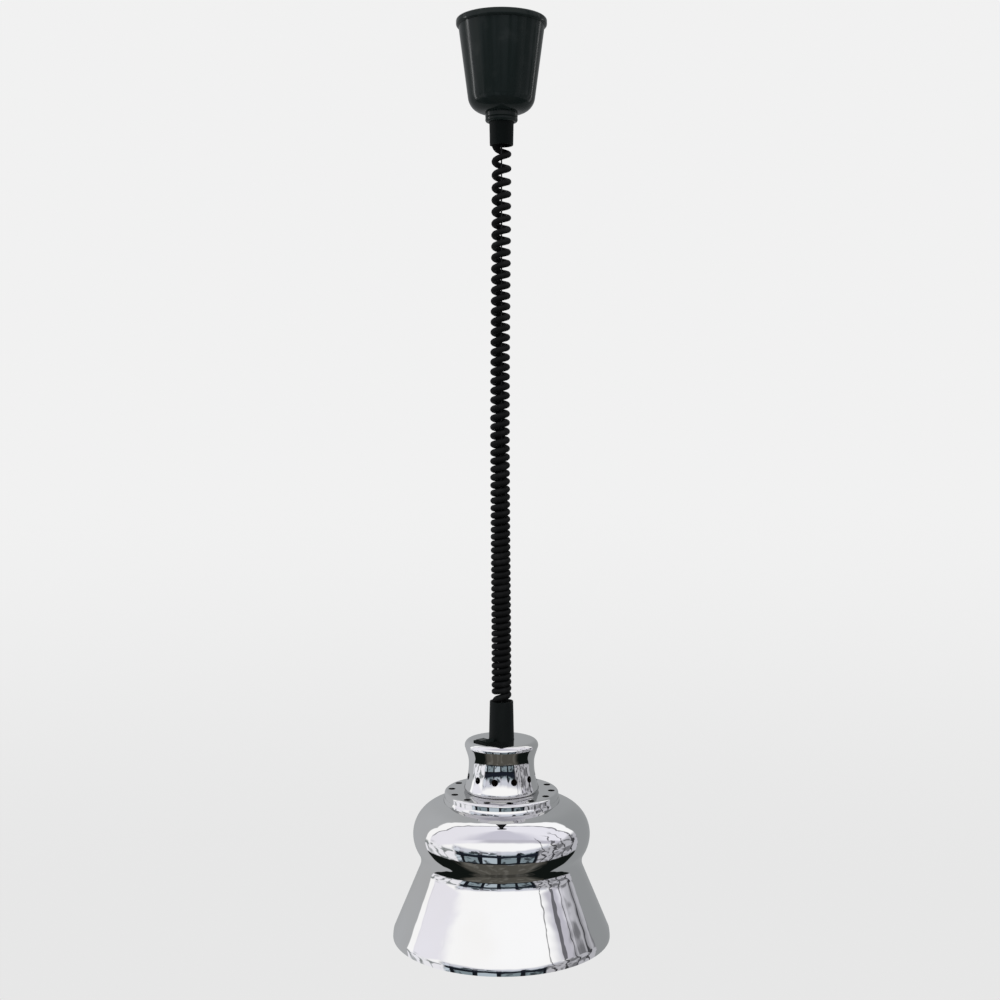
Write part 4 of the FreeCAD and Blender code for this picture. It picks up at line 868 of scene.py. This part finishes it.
shadeSettings = {
    "segments": 192,
    "rowHeight": 3.0,
    "level": flangeSettings["level"] - flangeSettings["height"],
    "wall": 1.0,
    "bore": 46.0,
    "step": 61.7,
    "stepHeight": 4.3,
    "stepDraw": 1.1,
    "stepCurve": 14.0,
    "shoulderShare": 0.946,
    "bulge": 93.9,
    "bulgeDrop": 38.3,
    "throatDraw": 8.5,
    "throatFall": 29.0,
    "throatCurve": 19.6,
    "mouth": 115.0,
    "band": 6.5,
    "bandFlare": 0.6,
    "height": 146.3,
}


def shadeSteps():
    sizes = shadeSettings
    wall, low, bulge, drop = sizes["wall"], -sizes["height"], sizes["bulge"], sizes["bulgeDrop"]
    step, throat, mouth = sizes["step"], sizes["throatCurve"], sizes["mouth"]
    out, fall = bulge - step, drop - sizes["stepHeight"]
    shoulder = sizes["shoulderShare"] * (out ** 2 + fall ** 2) / (2 * out)
    inwards = shoulder - out
    turn = math.atan2(fall, inwards) - math.acos(shoulder / math.hypot(fall, inwards))
    both = (sizes["throatFall"] ** 2 + sizes["throatDraw"] ** 2) / (2 * sizes["throatDraw"])
    curve = both - throat
    sink, draw = sizes["throatFall"] / both, sizes["throatDraw"] / both
    join = (bulge - curve * draw, -drop - curve * sink)
    joinInside = (join[0] - wall * (1 - draw), join[1] + wall * sink)
    middle = (bulge - sizes["throatDraw"] + throat, -drop - sizes["throatFall"])
    bandTop = (mouth - sizes["bandFlare"], low + sizes["band"])
    across, down = bandTop[0] - middle[0], middle[1] - bandTop[1]
    slope = math.atan2(across, down) + math.asin(throat / math.hypot(across, down))
    bandCurve = (sizes["bandFlare"] ** 2 + sizes["band"] ** 2) / (2 * sizes["bandFlare"])

    def roundOff(radius):
        return bulge - shoulder + radius * math.cos(turn), radius * math.sin(turn) - drop

    def bend(radius):
        return middle[0] - radius * math.cos(slope), middle[1] - radius * math.sin(slope)

    start = roundOff(shoulder - wall)
    stepInside = (step - wall, start[1] + (start[0] - step + wall) / math.tan(turn))
    stepTop, stepCurve = step - sizes["stepDraw"], sizes["stepCurve"]
    bandInside = (bandTop[0] - wall * math.cos(slope), bandTop[1] - wall * math.sin(slope))
    outside = [(sizes["bore"], 0), (stepTop, 0), (step, -sizes["stepHeight"], stepCurve, -1),
               roundOff(shoulder), (bulge, -drop, shoulder, -1), (*join, curve, -1),
               (*bend(throat), throat, 1), bandTop, (mouth, low, bandCurve, -1)]
    inside = [(mouth - wall, low), (*bandInside, bandCurve - wall, 1), bend(throat + wall),
              (*joinInside, throat + wall, -1), (bulge - wall, -drop, curve - wall, 1),
              (*start, shoulder - wall, 1), stepInside, (stepTop - wall, -wall, stepCurve - wall, 1),
              (sizes["bore"], -wall)]
    return outside + inside


shade = spunPiece("flaredShade", shadeSettings["level"], shadeSteps(), shadeSettings["segments"],
                  rowHeight=shadeSettings["rowHeight"])
settle(shade, "shade", "lamp_head", "chrome")

bulbSettings = {
    "segments": 128,
    "level": -797.6,
    "wall": 1.0,
    "cap": 13.1,
    "capLow": 28.0,
    "throat": (18.5, 42.0),
    "neck": (19.5, 58.0),
    "radius": 62.5,
    "length": 168.0,
    "faceDepth": 39.0,
    "corner": 24.0,
}


def bulbSteps():
    sizes = bulbSettings
    wall, radius, corner, face = sizes["wall"], sizes["radius"], sizes["corner"], sizes["faceDepth"]
    throat, throatDrop = sizes["throat"]
    neck, neckDrop = sizes["neck"]
    low, wide = -sizes["length"], sizes["length"] - face
    out, fall = radius - neck, wide - neckDrop
    cone = (out ** 2 + fall ** 2) / (2 * out)
    inset = radius - corner
    lens = (inset ** 2 + face ** 2 - corner ** 2) / (2 * (face - corner))
    spread, lean = inset / (lens - corner), (lens - face) / (lens - corner)

    def meet(reach):
        return spread * reach, lens + low - lean * reach

    outside = [(sizes["cap"] - wall, -sizes["capLow"]), (sizes["cap"], -sizes["capLow"]),
               (throat, -throatDrop), (neck, -neckDrop), (radius, -wide, cone, -1),
               (*meet(lens), corner, -1), (0, low, lens, -1)]
    inside = [(0, wall + low), (*meet(lens - wall), lens - wall, 1),
              (radius - wall, -wide, corner - wall, 1), (neck - wall, -neckDrop, cone, 1),
              (throat - wall, -throatDrop)]
    return outside + inside


bulbGlass = spunPiece("bulbGlass", bulbSettings["level"], bulbSteps(), bulbSettings["segments"])
settle(bulbGlass, "bulb_glass", "bulb", "bulb_glass")
print("stage: turned pieces made")

# pale floor, well below the lowest pose
floorSettings = {
    "height": -2.25,
    "radius": 2.5,
    "corners": 96,
    "pale": (0.82, 0.82, 0.82, 1),
    "mottle": (0.78, 0.78, 0.785, 1),
    "grain": (6.0, 3.0),
    "roughness": 0.7,
}
bpy.ops.object.select_all(action="DESELECT")
bpy.ops.mesh.primitive_circle_add(vertices=floorSettings["corners"], radius=floorSettings["radius"],
                                  fill_type="NGON", location=(0, 0, floorSettings["height"]))
floor = bpy.context.object
floor.name = "paleFloor"
floorFixed = {"Roughness": floorSettings["roughness"]}
floorFinish, floorWires, floorPlace, floorFeed = newFinish("paleFloor", floorFixed)
floorFeed("Base Color", floorWires.mix(floorSettings["pale"], floorSettings["mottle"],
                                       floorWires.grain(floorPlace, *floorSettings["grain"])))
floor.data.materials.append(floorFinish)
floor.visible_glossy = False

# soft lamps; the two edge lamps reach the cup and its collar only
lampSettings = {
    "overhead": {"place": (0.0, -0.9, 1.4), "aim": (0, 0, -0.6), "size": (1.6, 1.2), "power": 26.0},
    "left": {"place": (-1.9, -1.0, -0.2), "aim": (0, 0, -0.4), "size": (0.35, 2.2), "power": 14.0},
    "right": {"place": (1.9, -1.0, -0.2), "aim": (0, 0, -0.4), "size": (0.25, 2.2), "power": 10.0},
    "leftEdge": {"place": (-2.05, 0.42, -0.2), "aim": (0, 0, -0.4), "size": (0.20, 1.2), "power": 4.5},
    "rightEdge": {"place": (1.75, 1.15, -0.2), "aim": (0, 0, -0.4), "size": (0.16, 1.2), "power": 1.2},
}
edgeLit = bpy.data.collections.new("edgeLit")
for piece in (ceilingCup, cupCollar):
    edgeLit.objects.link(piece)
for name, setup in lampSettings.items():
    heading = Vector(setup["aim"]) - Vector(setup["place"])
    bpy.ops.object.select_all(action="DESELECT")
    bpy.ops.object.light_add(type="AREA", location=setup["place"],
                             rotation=heading.to_track_quat("-Z", "Y").to_euler())
    lamp = bpy.context.object
    lamp.name = name + "Softbox"
    lamp.data.shape = "RECTANGLE"
    lamp.data.size, lamp.data.size_y = setup["size"]
    lamp.data.energy = setup["power"]
    lamp.visible_glossy = name.endswith("Edge")
    if lamp.visible_glossy:
        lamp.light_linking.receiver_collection = edgeLit


def grey(level):
    return (level, level, level, 1)


# the room that the chrome mirrors: turn runs to the right from the camera's side and lift upwards,
# both in radians; most pairs of numbers are where a tone starts to change and where the change is full
roomSettings = {
    # the backdrop's second grey is painted shade, darker low down
    "backdrop": (grey(0.88), grey(0.80)),     # level, low down
    "backdropShade": (0.05, 0.32),
    "fill": grey(0.55),
    "wave": (4.0, 2.0),
    "waveRise": 0.12,
    "levelBend": 0.06,
    "scrawl": {"Scale": 4.0, "Detail": 6.0, "Distortion": 0.6},
    "scrawlMarks": (0.50, 0.60),
    "tent": (0.60, 0.59, 0.67, 1),
    "sideTent": (0.84, 0.83, 0.89, 1),
    "sideTentFrom": (0.60, 1.30),
    "shadow": (0.52, 0.51, 0.57, 1),
    "shadowFade": (0.30, 0.80),
    "shadowTop": (0.86, 0.98),
    "white": grey(1.0),
    "whiteTop": (0.64, 0.78),
    "archBend": 0.32,
    "panes": ((0.16, 0.21, 0.23, 1), (0.60, 0.68, 0.75, 1)),
    "paneSize": (0.42, 0.41),
    "paneShift": (0.05, 0.17),
    "paneTop": (0.18, 0.32),
    "paneSides": (1.05, 1.20),
    "frame": (0.008, 0.010, 0.014, 1),
    "frameWidth": 0.050,
    "frameSoftness": 0.3,
    "frameMarks": 0.85,
    "beam": (0.012, 0.015, 0.024, 1),
    "beamLow": (-0.15, -0.12),
    "beamTop": (-0.04, 0.00),
    "haze": (0.70, 0.71, 0.79, 1),
    "hazeFrom": (-0.02, 0.10),
    "hazeDip": 0.14,
    "hazeShare": 0.8,
    "clutter": ((0.22, 0.24, 0.24, 1), (0.86, 0.86, 0.90, 1)),
    "clutterMarks": (0.38, 0.52),
    "clutterFrom": (1.00, 1.10),
    "clutterTop": (-0.05, 0.12),
    "curtain": (0.46, 0.46, 0.49, 1),
    "curtainFrom": (0.80, 0.86),
    "curtainTop": (0.10, 0.24),
    "curtainMarks": 0.7,
    "fold": (0.05, 0.05, 0.055, 1),
    "foldWave": {"Scale": 1.15, "Distortion": 5.0, "Detail": 3.0, "Detail Scale": 3.0},
    "foldEdge": (0.90, 0.98),
    "foldFrom": (0.85, 0.95),
    "foldTop": (0.60, 0.90),
    "foldShare": 0.8,
    "ground": ((0.080, 0.076, 0.065, 1), (0.135, 0.130, 0.115, 1)),
    "groundMarks": (0.48, 0.66),
    "groundTop": (-0.58, -0.53),
    "dark": (0.006, 0.008, 0.007, 1),
    "darkFrom": (0.90, 1.20),
    "darkWander": 0.5,
    "paper": ((0.41, 0.42, 0.43, 1), (0.28, 0.29, 0.295, 1)),     # left, right
    "paperTurn": (-0.70, 0.70),
    "paperShape": (2.36, 1.65),               # half width and height over the distance
    "paperEdge": (-0.03, 0.05),
    "clothEdge": (-0.42, -0.38),
    "clothLow": (-0.10, 0.02),
    "clothTilt": 0.30,
    "clothTurn": (-0.2, 0.2),
    "seam": (0.24, 0.24, 0.26, 1),
    "seamEdge": (-0.50, -0.46),
    "seamLow": (0.10, 0.40),
    "secondBounce": (1.2, 1.8),
    "secondLoss": 0.42,
}


def paleRoom():
    look = roomSettings
    world = bpy.data.worlds.new("paleRoom")
    bpy.context.scene.world = world
    world.use_nodes = True
    wires = Wire(world.node_tree)
    way = wires.node("ShaderNodeTexCoord", output="Generated")
    across, away, up = way.parts()
    turn = wires.maths("ARCTAN2", across, -away)
    lift = wires.maths("ARCSINE", up)
    side = turn.size()
    spot = wires.node("ShaderNodeCombineXYZ", None, {0: turn, 1: lift})
    wave = wires.grain(spot, *look["wave"])
    level = lift + look["waveRise"] * wave - look["levelBend"] * turn * turn
    scrawl = wires.node("ShaderNodeTexNoise", None, {"Vector": spot, **look["scrawl"]})
    marks = scrawl.step(*look["scrawlMarks"])

    # tent overhead, paler at the sides, with a soft shadow line and white cloth below it in front
    arch = lift + look["archBend"] * turn * turn
    tent = wires.mix(look["tent"], look["sideTent"], side.step(*look["sideTentFrom"]))
    shadow = wires.mix(look["shadow"], look["sideTent"], (-turn).step(*look["shadowFade"]))
    room = wires.mix(shadow, tent, arch.step(*look["shadowTop"]))
    room = wires.mix(look["white"], room, arch.step(*look["whiteTop"]))

    # window wall in front: panes that fade out upwards, with a dark beam across them
    raised = wires.node("ShaderNodeCombineXYZ", None,
                        {0: turn + look["paneShift"][0], 1: lift + look["paneShift"][1]})
    panes = wires.node("ShaderNodeTexBrick", {"offset": 0.0}, {
        "Vector": raised, "Color1": look["panes"][0], "Color2": look["panes"][1], "Mortar": look["frame"],
        "Scale": 1.0, "Mortar Size": look["frameWidth"], "Mortar Smooth": look["frameSoftness"],
        "Brick Width": look["paneSize"][0], "Row Height": look["paneSize"][1]})
    panes = wires.mix(panes, look["frame"], look["frameMarks"] * marks)
    panes = wires.mix(panes, look["beam"], level.step(*look["beamLow"]) - level.step(*look["beamTop"]))
    misted = (level - look["hazeDip"] * marks).step(*look["hazeFrom"])
    panes = wires.mix(panes, look["haze"], look["hazeShare"] * misted)
    around = wires.maths("MAXIMUM", level.step(*look["paneTop"]), side.step(*look["paneSides"]))
    room = wires.mix(panes, room, around)

    # pale clutter to the left of the windows, a curtain in dark folds to the right
    left = wires.mix(*look["clutter"], scrawl.step(*look["clutterMarks"]))
    leftShare = (-turn).step(*look["clutterFrom"]) - lift.step(*look["clutterTop"])
    room = wires.mix(room, left, leftShare)
    folds = wires.node("ShaderNodeTexWave", {"bands_direction": "X"}, {"Vector": spot, **look["foldWave"]},
                       output=1)
    folds = folds.step(*look["foldEdge"]) * turn.step(*look["foldFrom"])
    creased = wires.maths("MAXIMUM", folds, look["curtainMarks"] * marks)
    right = wires.mix(look["curtain"], look["fold"], creased)
    room = wires.mix(room, right, turn.step(*look["curtainFrom"]) - level.step(*look["curtainTop"]))
    room = wires.mix(room, look["fold"], look["foldShare"] * folds * (1.0 - lift.step(*look["foldTop"])))

    # floor, darker to the sides; seam of the tent and white cloth beside the paper behind the lamp
    ground = wires.mix(*look["ground"], scrawl.step(*look["groundMarks"]))
    ground = wires.mix(ground, look["dark"],
                       (side + look["darkWander"] * (scrawl - 0.5)).step(*look["darkFrom"]))
    room = wires.mix(ground, room, level.step(*look["groundTop"]))
    wide = look["paperShape"][0] * away - across.size()
    high = look["paperShape"][1] * away - up
    inside = wires.maths("MINIMUM", wide, high) + look["waveRise"] * (wave - 0.5)
    cloth = inside.step(*look["clothEdge"])
    seam = inside.step(*look["seamEdge"]) - cloth
    room = wires.mix(room, look["seam"], seam * lift.step(*look["seamLow"]))
    hung = (lift - look["clothTilt"] * turn.step(*look["clothTurn"])).step(*look["clothLow"])
    room = wires.mix(room, look["white"], cloth * hung)
    paper = wires.mix(*look["paper"], across.step(*look["paperTurn"]))
    room = wires.mix(room, paper, inside.step(*look["paperEdge"]))

    # plate mirrored in plate is darker than plate
    bounces = wires.node("ShaderNodeLightPath", output="Glossy Depth")
    room = wires.mix(room, look["dark"], look["secondLoss"] * bounces.step(*look["secondBounce"]))

    # chrome mirrors the room, and the camera and the glass see the backdrop, painted darker low down as
    # painted shade
    sight = wires.node("ShaderNodeLightPath", output="Is Camera Ray")
    mirrored = wires.node("ShaderNodeLightPath", output="Is Glossy Ray")
    through = wires.node("ShaderNodeLightPath", output="Is Transmission Ray")
    seen = wires.mix(look["fill"], room, mirrored)
    backdrop = wires.mix(*look["backdrop"], (-up).step(*look["backdropShade"]))
    seen = wires.mix(seen, backdrop, wires.maths("MAXIMUM", sight, through))
    world.node_tree.links.new(seen.socket, world.node_tree.nodes["Background"].inputs["Color"])


paleRoom()
print("stage: floor, lamps and room set")
